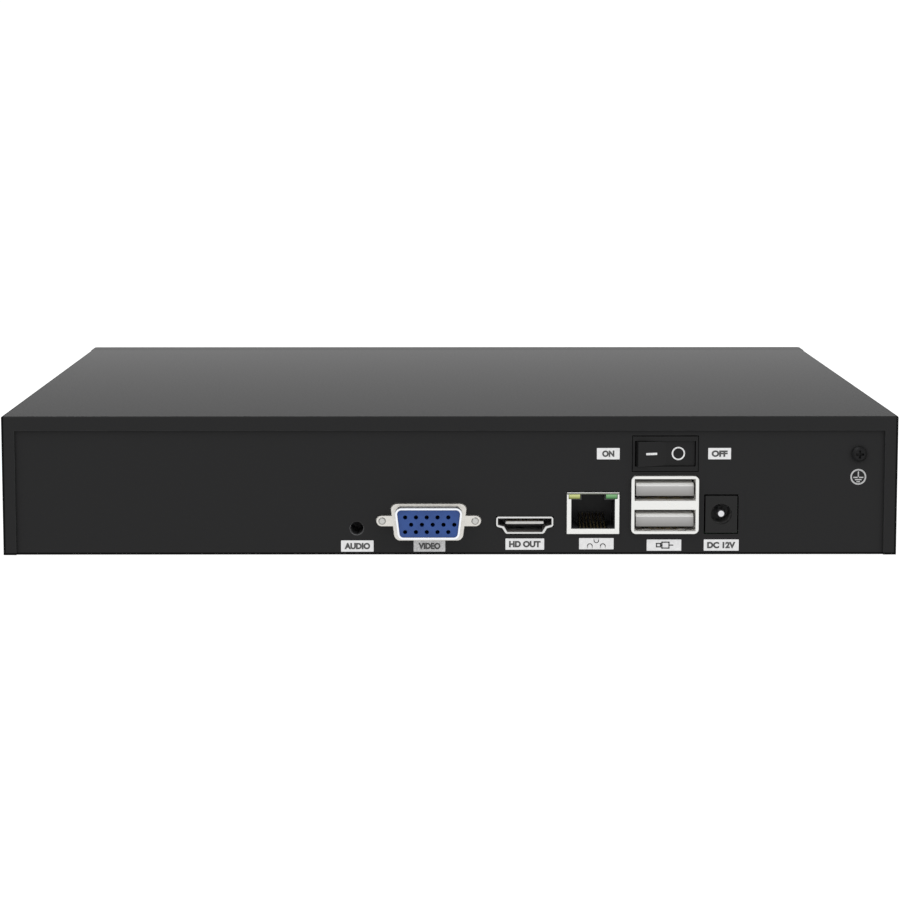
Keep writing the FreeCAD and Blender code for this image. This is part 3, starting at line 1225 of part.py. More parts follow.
def head_arm():
    """Three-bladed head arm with its voice coil, and the magnet plates above and below the coil."""
    blades = []
    for number in range(3):
        low = f"{number} * platter_pitch - arm_drop"
        blades.append(block(f"arm_blade_{number}", ("0", "arm_reach"), around("0", "arm_half"),
                            (low, f"{low} + arm_thick")))
    barrel = rod("arm_barrel", ("0", "0", "-hub_drop"), "arm_hub", "arm_hub_high")
    coil = block("arm_coil", ("-coil_end", "-coil_start"), around("0", "coil_side"),
                 ("coil_low", "coil_low + coil_thick"))
    arm = plus("arm_set", blades + [barrel, coil])
    piece(turned(arm, UPWARD, "arm_angle", ("arm_x", "arm_y", STACK)), "drive_arm")
    plates = []
    for number in range(2):
        low = f"({STACK} - magnet_drop + {number} * magnet_pitch)"
        plates.append(block(f"magnet_{number}", ("arm_x - magnet_left", "arm_x + magnet_right"),
                            ("drive_rear + drive_wall + magnet_gap", "arm_y - magnet_clear"),
                            (low, f"{low} + magnet_thick")))
    piece(group("magnet_pair", plates), "drive_magnets")


def drive_fixings():
    """Spacers between floor and drive, and the screws driven from below."""
    spacers = []
    screws = []
    gap = "(drive_spacer + drive_skirt)"
    slim = "recess_width / 2"
    for number, (x, y) in enumerate(drive_mounts()):
        ring = rod(f"spacer_ring_{number}", (x, y, FLOOR), "spacer_radius", gap)
        bore = rod(f"spacer_bore_{number}", (x, y, FLOOR), "screw_shank + hole_gap", gap)
        spacers.append(minus(f"spacer_{number}", ring, [bore]))
        low = "(foot_height - drive_head)"
        head = cone(f"drive_head_{number}", (x, y, low), "drive_head_radius - head_taper",
                    "drive_head_radius", "drive_head")
        shank = rod(f"drive_shank_{number}", (x, y, "foot_height - hole_gap"), "screw_shank",
                    f"{gap} + drive_thread")
        cuts = []
        for turn, (along, across) in enumerate((("drive_slot", slim), (slim, "drive_slot"))):
            cuts.append(block(f"drive_cut_{number}_{turn}", around(x, along), around(y, across),
                              (f"{low} - 1", f"{low} + recess_depth")))
        screws.append(minus(f"drive_screw_{number}", plus(f"drive_blank_{number}", [head, shank]), cuts))
    piece(group("spacer_set", spacers), "drive_spacers")
    piece(group("drive_screw_set", screws), "drive_screws")


def drive_leads():
    """Board sockets, drive plugs and the two internal leads between them."""
    lift = f"({DRIVE} + lead_lift)"
    plug_end = f"({DRIVE_RIGHT} + plug_long)"
    sockets = []
    plugs = []
    leads = []
    for name in ("data", "feed"):
        x = f"{name}_x"
        y = f"(drive_rear + {name}_along)"
        sockets.append(block(f"{name}_socket", around(x, "board_socket_half"),
                             ("board_front - board_socket_depth", "board_front"),
                             (BOARD, f"{lift} + board_socket_rise")))
        plugs.append(block(f"{name}_end", (DRIVE_RIGHT, plug_end), around(y, f"{name}_plug"),
                           around(lift, "plug_thick")))
        start = Vector(reading(plug_end), reading(y), reading(lift))
        corner = Vector(reading(x), start.y, start.z)
        finish = Vector(corner.x, reading("board_front"), start.z)
        leads.append(tube(f"{name}_wire", start, corner, finish, f"{name}_lead"))
    piece(group("socket_pair", sockets), "drive_board_sockets")
    piece(group("plug_pair", plugs), "drive_plugs")
    piece(group("lead_pair", leads), "drive_leads")


def switch_leads():
    """Header on the board and the two leads down from the switch's terminals."""
    end = f"({SWITCH_END} - terminal_sink + terminal_length)"
    header_top = f"({BOARD} + header_high)"
    header_y = f"({end} + header_reach)"
    piece(block("header_block", around("switch_x - header_shift", "header_half"),
                around(header_y, "header_side"), (BOARD, header_top)), "switch_header")
    leads = []
    for n in TERMINALS[:2]:
        start = Vector(reading(f"switch_x + {n} * terminal_pitch"), reading(end), reading("switch_height"))
        corner = Vector(start.x, reading(header_y), start.z)
        finish = Vector(start.x, corner.y, reading(header_top))
        leads.append(tube(f"switch_wire_{n + 1}", start, corner, finish, "switch_lead"))
    piece(group("switch_lead_pair", leads), "switch_leads")


# ---------------------------------------------------------------- build, check and write

def check_document():
    for item in DOC.Objects:
        if any(word in state for state in item.State for word in ("Invalid", "Error")):
            raise RuntimeError(f"{item.Name}: {item.State}")
    for item in PIECES:
        if item.Shape.isNull() or not item.Shape.isValid() or not item.Shape.Solids:
            raise RuntimeError(f"{item.Label} has no valid shape")


def write_steps():
    os.makedirs("parts", exist_ok=True)
    for item in PIECES:
        item.Shape.exportStep(f"parts/{item.Label}.step")


MAKERS = [
    chassis_tray, top_cover, front_bezel, front_window, light_pipes, front_lamp_board, rubber_feet,
    cover_screws, ground_terminal, main_board, board_fixings, processor, board_components, clock_cell,
    sounder, audio_socket, video_socket, video_insert, monitor_socket, network_socket, network_housing,
    network_contacts, serial_sockets, serial_inserts, power_inlet, switch_frame, rocker,
    switch_contacts, drive_case, drive_platters, head_arm, drive_fixings, drive_leads, switch_leads,
]

make_sheet()
for maker in MAKERS:
    maker()
    DOC.recompute()
check_document()
write_steps()
print(len(PIECES), "sub-parts written")
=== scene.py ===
"""The video recorder in a plain studio: finishes for its parts, its printing and its small details."""

import json
import math

import bmesh
import bpy
from mathutils import Matrix, Vector


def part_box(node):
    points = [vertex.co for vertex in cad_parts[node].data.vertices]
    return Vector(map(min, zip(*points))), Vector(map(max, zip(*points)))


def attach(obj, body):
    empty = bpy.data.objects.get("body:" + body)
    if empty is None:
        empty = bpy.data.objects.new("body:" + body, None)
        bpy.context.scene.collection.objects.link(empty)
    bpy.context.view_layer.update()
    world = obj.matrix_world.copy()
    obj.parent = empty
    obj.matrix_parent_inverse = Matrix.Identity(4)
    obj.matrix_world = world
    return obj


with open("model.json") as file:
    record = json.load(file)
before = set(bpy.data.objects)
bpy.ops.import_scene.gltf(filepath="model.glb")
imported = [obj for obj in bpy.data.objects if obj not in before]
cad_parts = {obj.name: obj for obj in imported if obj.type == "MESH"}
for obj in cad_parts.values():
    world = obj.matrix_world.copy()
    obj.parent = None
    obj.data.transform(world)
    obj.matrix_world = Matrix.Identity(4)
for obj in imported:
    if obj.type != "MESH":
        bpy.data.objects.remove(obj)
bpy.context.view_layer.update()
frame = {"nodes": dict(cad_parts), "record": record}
NODES = frame["nodes"]
MM = 0.001


# ---------------------------------------------------------------- places and sizes

def middle(node):
    """The centre of a CAD node's box."""
    low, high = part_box(node)
    return (low + high) / 2


PANEL_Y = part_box("chassis_tray")[0].y
SHELL_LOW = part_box("chassis_tray")[0]
SHELL_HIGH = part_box("top_cover")[1]
# the serial sockets' two tongues: the lower one's underside, and how far up the next one is
TONGUE_LOW = 10.05 * MM
TONGUE_PITCH = 8.3 * MM
TONGUE_THICK = 3.4 * MM
TONGUE_CHAMFER = 0.7 * MM
PRINT_LIFT = 0.03 * MM
PRINT_THICK = 0.05 * MM
LABEL_HEIGHT = 3.05 * MM
LABEL_CORNER = 0.12 * MM
LETTER_HEIGHT = 1.75 * MM
LETTER_WEIGHT = 0.058

WELD_GAP = 0.002 * MM
BEVEL_SEGMENTS = 3
SHARP_ANGLE = math.radians(35)
HIDDEN_EDGE = 0.05

CAMERA_LENS = 113.2
CAMERA_DISTANCE = 0.7523
CAMERA_SIDE = -0.00334
CAMERA_HEIGHT = 0.1246
CAMERA_DROP = 7.106
CAMERA_TURN = -0.253
FLOOR_REACH = 6.0


# ---------------------------------------------------------------- node trees

class Finish:
    """A material's node tree, with short calls for the nodes that the finishes share."""

    def __init__(self, name, colour, roughness, **sockets):
        self.material = bpy.data.materials.new(name)
        self.material.use_nodes = True
        self.tree = self.material.node_tree
        self.shader = self.tree.nodes["Principled BSDF"]
        self.shader.inputs["Base Color"].default_value = (*colour, 1)
        self.shader.inputs["Roughness"].default_value = roughness
        for socket, value in sockets.items():
            self.shader.inputs[socket.replace("_", " ")].default_value = value
        self.coordinates = self.node("ShaderNodeTexCoord").outputs["Object"]

    def node(self, kind, **values):
        made = self.tree.nodes.new(kind)
        for key, value in values.items():
            setattr(made, key, value)
        return made

    def link(self, source, target):
        self.tree.links.new(source, target)

    def noise(self, scale, detail=3.0, stretch=(1, 1, 1)):
        """Noise in the object's own metres, stretched along an axis where it is brushed."""
        mapping = self.node("ShaderNodeMapping")
        mapping.inputs["Scale"].default_value = stretch
        self.link(self.coordinates, mapping.inputs["Vector"])
        texture = self.node("ShaderNodeTexNoise")
        texture.inputs["Scale"].default_value = scale
        texture.inputs["Detail"].default_value = detail
        self.link(mapping.outputs["Vector"], texture.inputs["Vector"])
        return texture.outputs["Fac"]

    def spread(self, factor, low, high, start=0.3, end=0.7):
        """Maps a factor's useful range to low and high."""
        ranged = self.node("ShaderNodeMapRange")
        limits = {"From Min": start, "From Max": end, "To Min": low, "To Max": high}
        for socket, value in limits.items():
            ranged.inputs[socket].default_value = value
        self.link(factor, ranged.inputs["Value"])
        return ranged.outputs["Result"]

    def edges(self, radius):
        """A mask that is bright along sharp edges: where a rounded normal leaves the true one."""
        rounded = self.node("ShaderNodeBevel", samples=4)
        rounded.inputs["Radius"].default_value = radius
        true_normal = self.node("ShaderNodeNewGeometry").outputs["Normal"]
        dot = self.node("ShaderNodeVectorMath", operation="DOT_PRODUCT")
        self.link(rounded.outputs["Normal"], dot.inputs[0])
        self.link(true_normal, dot.inputs[1])
        return self.spread(dot.outputs["Value"], 1, 0, 0.86, 0.995)

    def along(self, axis):
        """The place along one axis of the frame."""
        split = self.node("ShaderNodeSeparateXYZ")
        self.link(self.coordinates, split.inputs["Vector"])
        return split.outputs[axis]

    def band(self, place, start, end, blur):
        """A mask that is 1 between two places, with soft ends."""
        rise = self.spread(place, 0, 1, start - blur, start)
        fall = self.spread(place, 1, 0, end, end + blur)
        return self.multiply(rise, fall)

    def mix(self, factor, first, second):
        """Blends two colours, each a plain colour or the output of another node."""
        mixed = self.node("ShaderNodeMix", data_type="RGBA")
        for socket, colour in (("A", first), ("B", second)):
            if isinstance(colour, tuple):
                mixed.inputs[socket].default_value = (*colour, 1)
            else:
                self.link(colour, mixed.inputs[socket])
        self.link(factor, mixed.inputs["Factor"])
        return mixed.outputs["Result"]

    def arithmetic(self, operation, *values):
        """One step of arithmetic, each value a plain number or the output of another node."""
        step = self.node("ShaderNodeMath", operation=operation)
        for socket, value in zip(step.inputs, values):
            if isinstance(value, float):
                socket.default_value = value
            else:
                self.link(value, socket)
        return step.outputs["Value"]

    def multiply(self, first, second):
        return self.arithmetic("MULTIPLY", first, second)

    def colour(self, source):
        self.link(source, self.shader.inputs["Base Color"])

    def roughness(self, source):
        self.link(source, self.shader.inputs["Roughness"])

    def bump(self, height, distance, strength=1.0):
        bumped = self.node("ShaderNodeBump")
        bumped.inputs["Strength"].default_value = strength
        bumped.inputs["Distance"].default_value = distance
        self.link(height, bumped.inputs["Height"])
        self.link(bumped.outputs["Normal"], self.shader.inputs["Normal"])


def powder_coat():
    """Black powder coat: orange peel, edges rubbed lighter, and painted shade along the outermost side
    and bottom bends.
    """
    finish = Finish("powder_coat", (0.009, 0.009, 0.0095), 0.5, Specular_IOR_Level=0.15)
    wear = finish.multiply(finish.edges(0.35 * MM), finish.spread(finish.noise(260), 0.2, 1))
    worn = finish.mix(wear, (0.009, 0.009, 0.0093), (0.024, 0.024, 0.0245))
    away = finish.arithmetic("ABSOLUTE", finish.along("X"))
    side = SHELL_HIGH.x
    base = SHELL_LOW.z
    # painted shade: dark bands along the outer side edges and the lowest edge, with weaker reflection
    # there
    side_bend_painted_shade = finish.band(away, side - 0.6 * MM, side - 0.06 * MM, 0.05 * MM)
    low_bend_painted_shade = finish.band(finish.along("Z"), base + 0.06 * MM, base + 0.55 * MM, 0.05 * MM)
    dark = finish.arithmetic("MAXIMUM", side_bend_painted_shade, low_bend_painted_shade)
    finish.colour(finish.mix(dark, worn, (0.002, 0.002, 0.002)))
    finish.link(finish.spread(dark, 0.15, 0.05, 0, 1), finish.shader.inputs["Specular IOR Level"])
    even = finish.spread(finish.along("Y"), 0.565, 0.435, -0.1, 0.1)
    grain = finish.spread(finish.noise(1500, 2), 0.96, 1.04)
    finish.roughness(finish.multiply(even, grain))
    finish.bump(finish.noise(1400, 2), 0.02 * MM, 0.35)
    return finish.material


def plated_surface(finish, low, high, stretch=(1, 1, 1)):
    """The uneven gloss and faint drawn lines of plated metal."""
    finish.roughness(finish.spread(finish.noise(900, 3, stretch), low, high))
    finish.bump(finish.noise(1800, 2, stretch), 0.006 * MM, 0.3)


def moulded_surface(finish, low, high):
    """The uneven gloss and fine grain of moulded plastic."""
    finish.roughness(finish.spread(finish.noise(700, 2), low, high))
    finish.bump(finish.noise(2600, 2), 0.01 * MM, 0.3)


def black_plastic(name="black_plastic", shade=0.009, rough=0.5, shine=0.25):
    """Moulded black plastic with a fine spark-eroded texture."""
    finish = Finish(name, (shade, shade, shade), rough, Specular_IOR_Level=shine)
    wear = finish.multiply(finish.edges(0.2 * MM), finish.spread(finish.noise(500), 0.2, 1))
    plain = (shade, shade, shade * 1.03)
    rubbed = (shade * 3.4, shade * 3.4, shade * 3.5)
    finish.colour(finish.mix(wear, plain, rubbed))
    finish.roughness(finish.spread(finish.noise(1200, 2), rough - 0.02, rough + 0.03))
    finish.bump(finish.noise(3200, 2), 0.012 * MM, 0.4)
    return finish.material


def bright_metal(name, colour, rough, stretch=(1, 1, 1)):
    """Plated metal with drawn lines and faint stains."""
    finish = Finish(name, colour, rough, Metallic=1.0)
    darker = tuple(0.82 * channel for channel in colour)
    finish.colour(finish.mix(finish.spread(finish.noise(160, 5), 0, 1), colour, darker))
    plated_surface(finish, rough - 0.07, rough + 0.1, stretch)
    return finish.material


def depth_mask(finish, front, back):
    """A mask that falls from 1 to 0 between two places along Y."""
    return finish.spread(finish.along("Y"), 1, 0, front, back)


def socket_metal(name, painted_inside, bright, front, back, metal_inside=1.0):
    """Plated steel, bright at its rim, with a painted colour further in: painted shade inside the
    video and monitor sockets, painted light inside the serial sockets.
    """
    finish = Finish(name, bright, 0.3, Metallic=1.0)
    # the colour further in is painted: shade in the video and monitor sockets, light in the serial
    # sockets
    forward = depth_mask(finish, front, back)
    finish.colour(finish.mix(forward, painted_inside, bright))
    finish.link(finish.spread(forward, metal_inside, 1, 0, 1), finish.shader.inputs["Metallic"])
    plated_surface(finish, 0.26, 0.42)
    return finish.material


def network_metal():
    """Nickel shield with painted shade greying its top bend."""
    finish = Finish("network_plate", (0.72, 0.72, 0.70), 0.3, Metallic=1.0)
    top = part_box("network_socket_shield")[1].z
    # painted shade: a dark grey band just under the shield's top edge
    bend = finish.band(finish.along("Z"), top - 0.55 * MM, top - 0.2 * MM, 0.1 * MM)
    finish.colour(finish.mix(bend, (0.72, 0.72, 0.70), (0.19, 0.20, 0.17)))
    plated_surface(finish, 0.24, 0.38)
    return finish.material


def rivet_metal():
    """Dull steel with painted shade along its sharp edges: a dark line where the rivet meets its ear.
    """
    finish = Finish("rivet_steel", (0.5, 0.5, 0.48), 0.35, Metallic=1.0)
    # painted shade: sharp edges darkened, standing in for the shaded recess around the rivet
    finish.colour(finish.mix(finish.edges(0.35 * MM), (0.5, 0.5, 0.48), (0.12, 0.12, 0.12)))
    plated_surface(finish, 0.28, 0.44)
    return finish.material


def serial_plastic():
    """Grey tongues with a painted highlight along the chamfer at their top and painted shade towards
    their lower edge.
    """
    finish = Finish("serial_tongue", (0.36, 0.355, 0.35), 0.45)
    above = finish.arithmetic("SUBTRACT", finish.along("Z"), TONGUE_LOW)
    rise = finish.arithmetic("MODULO", above, TONGUE_PITCH)
    chamfer = TONGUE_THICK - TONGUE_CHAMFER
    # painted shade darkening each tongue's face downwards, and a painted highlight on its top chamfer
    painted_shade_rise = finish.spread(rise, 0, 1, 0, chamfer)
    face = finish.mix(painted_shade_rise, (0.17, 0.165, 0.16), (0.34, 0.335, 0.33))
    painted_highlight_crest = finish.band(rise, chamfer, TONGUE_THICK, 0.1 * MM)
    finish.colour(finish.mix(painted_highlight_crest, face, (0.66, 0.66, 0.65)))
    moulded_surface(finish, 0.4, 0.55)
    return finish.material


def inlet_plastic():
    """Black moulding of the power inlet, black on its face, with painted light making it paler down
    its barrel.
    """
    finish = Finish("inlet_plastic", (0.007, 0.007, 0.007), 0.45, Specular_IOR_Level=0.2)
    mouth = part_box("power_inlet_housing")[0].y
    # painted light: the barrel's inside paler than the face
    outside = depth_mask(finish, mouth + 0.8 * MM, mouth + 3.0 * MM)
    finish.colour(finish.mix(outside, (0.14, 0.14, 0.14), (0.007, 0.007, 0.007)))
    finish.roughness(finish.spread(finish.noise(300, 4), 0.4, 0.52))
    finish.bump(finish.noise(3200, 2), 0.012 * MM, 0.4)
    return finish.material


def tinted_plastic(name, colour, rough, **sockets):
    """Moulded coloured plastic with flow marks and a soft sheen."""
    finish = Finish(name, colour, rough, **sockets)
    darker = tuple(0.8 * channel for channel in colour)
    finish.colour(finish.mix(finish.spread(finish.noise(420, 4), 0, 1), colour, darker))
    moulded_surface(finish, rough - 0.06, rough + 0.08)
    return finish.material


def circuit_board():
    """Green solder resist over faint copper tracks."""
    finish = Finish("circuit_board", (0.012, 0.09, 0.035), 0.35)
    tracks = finish.node("ShaderNodeTexBrick")
    tracks.inputs["Scale"].default_value = 170
    tracks.inputs["Mortar Size"].default_value = 0.03
    finish.link(finish.coordinates, tracks.inputs["Vector"])
    finish.colour(finish.mix(tracks.outputs["Fac"], (0.012, 0.085, 0.032), (0.03, 0.15, 0.06)))
    finish.bump(tracks.outputs["Fac"], 0.03 * MM, 0.4)
    finish.roughness(finish.spread(finish.noise(200), 0.3, 0.45))
    return finish.material


def rubber():
    """Matt black foot rubber with dusty patches."""
    finish = Finish("foot_rubber", (0.012, 0.012, 0.012), 0.85, Specular_IOR_Level=0.2)
    dust = finish.spread(finish.noise(500, 5), 0, 1)
    finish.colour(finish.mix(dust, (0.010, 0.010, 0.010), (0.02, 0.02, 0.02)))
    finish.bump(finish.noise(2400, 3), 0.03 * MM, 0.5)
    finish.roughness(finish.spread(finish.noise(300), 0.75, 0.92))
    return finish.material


def label_white():
    """White printed patches: slightly uneven, matt."""
    finish = Finish("label_white", (0.56, 0.56, 0.56), 0.6, Specular_IOR_Level=0.2)
    patches = finish.spread(finish.noise(900, 5), 0, 1)
    finish.colour(finish.mix(patches, (0.60, 0.60, 0.60), (0.52, 0.52, 0.525)))
    finish.roughness(finish.spread(finish.noise(500), 0.5, 0.7))
    finish.bump(finish.noise(4000, 2), 0.01 * MM, 0.4)
    return finish.material


def printing_ink(name, colour):
    """Screen-printed ink, a little lighter where it is thin."""
    finish = Finish(name, colour, 0.55, Specular_IOR_Level=0.3)
    lighter = tuple(min(1, 1.5 * channel + 0.02) for channel in colour)
    finish.colour(finish.mix(finish.spread(finish.noise(2500, 4), 0, 1), colour, lighter))
    finish.roughness(finish.spread(finish.noise(900), 0.45, 0.65))
    return finish.material


def lamp_lens():
    """Two lamps in one moulding: yellow-green on the left, green on the right, with painted shade
    below.
    """
    finish = Finish("lamp_lens", (0.5, 0.6, 0.3), 0.3)
    low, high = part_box("network_socket_lamps")
    centre = (low.x + high.x) / 2
    side = finish.spread(finish.along("X"), 0, 1, centre - MM, centre + MM)
    rise = finish.spread(finish.along("Z"), 0, 1, low.z + 0.2 * MM, high.z - 0.3 * MM)
    # painted shade on the lower part of each lamp, lit colours above
    shaded = finish.mix(side, (0.20, 0.22, 0.05), (0.03, 0.14, 0.035))
    lit = finish.mix(side, (0.52, 0.56, 0.22), (0.17, 0.38, 0.16))
    finish.colour(finish.mix(rise, shaded, lit))
    finish.roughness(finish.spread(finish.noise(700), 0.25, 0.4))
    finish.bump(finish.noise(1500, 2), 0.02 * MM, 0.3)
    return finish.material


POWDER = powder_coat()
BLACK = black_plastic()
BLACK_GLOSS = black_plastic("black_switch_plastic", 0.0055, 0.4, 0.17)
WINDOW = tinted_plastic("smoked_window", (0.004, 0.004, 0.005), 0.16, Specular_IOR_Level=0.2)
CLEAR = tinted_plastic("clear_rod", (0.75, 0.78, 0.8), 0.12)
BOARD = circuit_board()
RUBBER = rubber()
BLACK_STEEL = bright_metal("black_screw", (0.03, 0.03, 0.031), 0.45)
ZINC = bright_metal("zinc_plate", (0.62, 0.63, 0.65), 0.32)
NICKEL = bright_metal("nickel_plate", (0.77, 0.77, 0.75), 0.3, (1, 8, 1))
# painted shade: the video shell darker towards its flange
VIDEO_METAL = socket_metal("video_plate", (0.62, 0.605, 0.57), (0.80, 0.82, 0.86),
                           PANEL_Y - 4 * MM, PANEL_Y - 0.9 * MM)
# painted shade: the monitor shell dark and matt inside its mouth
MONITOR_METAL = socket_metal("monitor_plate", (0.13, 0.122, 0.118), (0.62, 0.62, 0.61),
                             PANEL_Y - 0.3 * MM, PANEL_Y + 0.3 * MM, 0.0)
# painted light: the serial shield paler and matt inside its mouth
SERIAL_METAL = socket_metal("serial_plate", (0.92, 0.90, 0.86), (0.72, 0.72, 0.70),
                            PANEL_Y - 0.6 * MM, PANEL_Y + 0.4 * MM, 0.0)
PIN_METAL = bright_metal("pin_nickel", (0.66, 0.66, 0.68), 0.34)
BLACK_ZINC = bright_metal("black_zinc", (0.020, 0.020, 0.0205), 0.55)
NETWORK_METAL = network_metal()
# painted light: a paler copy of the black plastic, lifting the shade inside the network port
NETWORK_BLACK_PAINTED_LIGHT = black_plastic("network_plastic", 0.032, 0.5)
# painted light: a paler copy of the black plastic, lifting the shade inside the audio bore
AUDIO_BLACK_PAINTED_LIGHT = black_plastic("audio_plastic", 0.11, 0.5)
INLET_BLACK = inlet_plastic()
RIVET_METAL = rivet_metal()
CHIP = black_plastic("chip_resin", 0.02, 0.6)
PAD = tinted_plastic("pad_silicone", (0.25, 0.35, 0.5), 0.7)
ALUMINIUM = bright_metal("aluminium", (0.8, 0.81, 0.82), 0.38, (1, 1, 6))
GOLD = bright_metal("gold_contact", (0.83, 0.62, 0.25), 0.25, (1, 8, 1))
# painted shade: a dimmed copy of the gold for the contacts inside the network and monitor sockets
GOLD_PAINTED_SHADE = bright_metal("shaded_contact", (0.42, 0.34, 0.18), 0.4)
BLUE = tinted_plastic("socket_blue", (0.020, 0.058, 0.21), 0.5, Specular_IOR_Level=0.3)
WHITE = tinted_plastic("socket_white", (0.62, 0.62, 0.6), 0.4)
SERIAL_GREY = serial_plastic()
MONITOR_TONGUE = tinted_plastic("monitor_tongue", (0.62, 0.61, 0.59), 0.45)
LAMPS = lamp_lens()
SLEEVE = tinted_plastic("lead_sleeve", (0.2, 0.015, 0.015), 0.5)
PLATTER = bright_metal("platter_metal", (0.85, 0.86, 0.88), 0.06)
LABEL = label_white()
LABEL_GREY = printing_ink("label_grey", (0.34, 0.34, 0.34))
INK = printing_ink("ink_dark", (0.035, 0.035, 0.035))
WHITE_INK = printing_ink("ink_white", (0.42, 0.42, 0.42))
DIM_INK = printing_ink("ink_dim", (0.25, 0.25, 0.25))
ICON_INK = printing_ink("ink_icon", (0.22, 0.22, 0.22))

SLOT_FINISH = {
    "black_powder_coat": POWDER, "black_plastic": BLACK, "smoked_plastic": WINDOW,
    "clear_plastic": CLEAR, "circuit_board": BOARD, "black_rubber": RUBBER,
    "black_steel": BLACK_STEEL, "zinc_steel": ZINC, "nickel_steel": NICKEL, "chip_resin": CHIP,
    "pad_rubber": PAD, "aluminium": ALUMINIUM, "gold_contacts": GOLD, "blue_plastic": BLUE,
    "white_plastic": WHITE, "grey_plastic": SERIAL_GREY, "lamp_plastic": LAMPS, "lead_sleeve": SLEEVE,
    "platter_metal": PLATTER,
}
# nodes that look different from the rest of their material slot
NODE_FINISH = {
    "switch_frame": BLACK_GLOSS, "switch_rocker": BLACK_GLOSS, "power_inlet_housing": INLET_BLACK,
    "ground_screw": BLACK_ZINC, "network_socket_shield": NETWORK_METAL,
    "audio_jack_body": AUDIO_BLACK_PAINTED_LIGHT, "network_socket_housing": NETWORK_BLACK_PAINTED_LIGHT,
    "video_socket_rivets": RIVET_METAL, "power_inlet_pin": PIN_METAL,
    "video_socket_shell": VIDEO_METAL, "monitor_socket_shell": MONITOR_METAL,
    "serial_socket_shield": SERIAL_METAL, "monitor_socket_tongue": MONITOR_TONGUE,
    "network_socket_contacts": GOLD_PAINTED_SHADE, "monitor_socket_contacts": GOLD_PAINTED_SHADE,
}
# how far the edges are rounded, in millimetres
EDGE_WIDTH = {
    "front_bezel": 0.5, "front_window": 0.2, "rubber_feet": 0.3,
    "serial_socket_shield": 0.22, "network_socket_shield": 0.15, "monitor_socket_shell": 0.12,
    "video_socket_shell": 0.15, "video_socket_insert": 0.12, "switch_frame": 0.25,
    "switch_rocker": 0.25, "power_inlet_housing": 0.2, "serial_socket_tongues": 0.15,
    "network_socket_lamps": 0.12, "ground_screw": 0.12, "network_socket_housing": 0.08,
    "monitor_socket_tongue": 0.1, "cover_screws": 0.08,
}


def dress_nodes():
    """Gives every CAD node its finish, and softens its edges, except on the thin bent tray."""
    for row in frame["record"]["subparts"]:
        name = row["node"]
        node = NODES[name]
        finish = NODE_FINISH.get(name, SLOT_FINISH[row["material_slot"]])
        node.data.materials.clear()
        node.data.materials.append(finish)
        if name != "chassis_tray":
            soften(node, EDGE_WIDTH.get(name, HIDDEN_EDGE))


def soften(thing, width):
    """Rounds sharp edges, after joining the points that the faces of the CAD mesh repeat."""
    weld = thing.modifiers.new("weld", "WELD")
    weld.merge_threshold = WELD_GAP
    bevel = thing.modifiers.new("soft_edges", "BEVEL")
    bevel.width = width * MM
    bevel.segments = BEVEL_SEGMENTS
    bevel.limit_method = "ANGLE"
    bevel.angle_limit = SHARP_ANGLE
    bevel.use_clamp_overlap = True
    bevel.harden_normals = True


# ---------------------------------------------------------------- mesh pieces

def finish_piece(mesh, name, finish, body):
    """Adds a mesh to the scene as a named piece that moves with one body."""
    piece = bpy.data.objects.new(name, mesh)
    bpy.context.scene.collection.objects.link(piece)
    mesh.materials.clear()
    mesh.materials.append(finish)
    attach(piece, body)
    return piece


def rounded_panel(width, height, radius, thick, steps=6):
    """A thin plate in X and Z with round corners, its back on the plane y = 0, facing -Y."""
    form = bmesh.new()
    ring = []
    for quarter, (sx, sz) in enumerate(((1, 1), (-1, 1), (-1, -1), (1, -1))):
        for step in range(steps + 1):
            angle = math.radians(90 * quarter + 90 * step / steps)
            x = sx * (width / 2 - radius) + radius * math.cos(angle)
            z = sz * (height / 2 - radius) + radius * math.sin(angle)
            ring.append(form.verts.new((x, 0, z)))
    face = form.faces.new(ring)
    extruded = bmesh.ops.extrude_face_region(form, geom=[face])
    moved = [item for item in extruded["geom"] if isinstance(item, bmesh.types.BMVert)]
    bmesh.ops.translate(form, verts=moved, vec=(0, -thick, 0))
    bmesh.ops.recalc_face_normals(form, faces=form.faces)
    mesh = bpy.data.meshes.new("panel")
    form.to_mesh(mesh)
    form.free()
    return mesh


def lettering(words, width, height, name):
    """Bold words as a thin mesh of a given width and height, centred in X and Z, facing -Y."""
    curve = bpy.data.curves.new(name, "FONT")
    curve.body = words
    curve.size = height
    curve.extrude = PRINT_THICK / 2
    curve.offset = LETTER_WEIGHT * height
    holder = bpy.data.objects.new(name, curve)
    bpy.context.scene.collection.objects.link(holder)
    bpy.context.view_layer.update()
    evaluated = holder.evaluated_get(bpy.context.evaluated_depsgraph_get())
    mesh = bpy.data.meshes.new_from_object(evaluated)
    bpy.data.objects.remove(holder)
    bpy.data.curves.remove(curve)
    low = Vector(min(vertex.co[axis] for vertex in mesh.vertices) for axis in range(3))
    high = Vector(max(vertex.co[axis] for vertex in mesh.vertices) for axis in range(3))
    mesh.transform(Matrix.Translation(-(low + high) / 2))
    mesh.transform(Matrix.Diagonal((width / (high.x - low.x), height / (high.y - low.y), 1, 1)))
    mesh.transform(Matrix.Rotation(math.radians(90), 4, "X"))
    return mesh


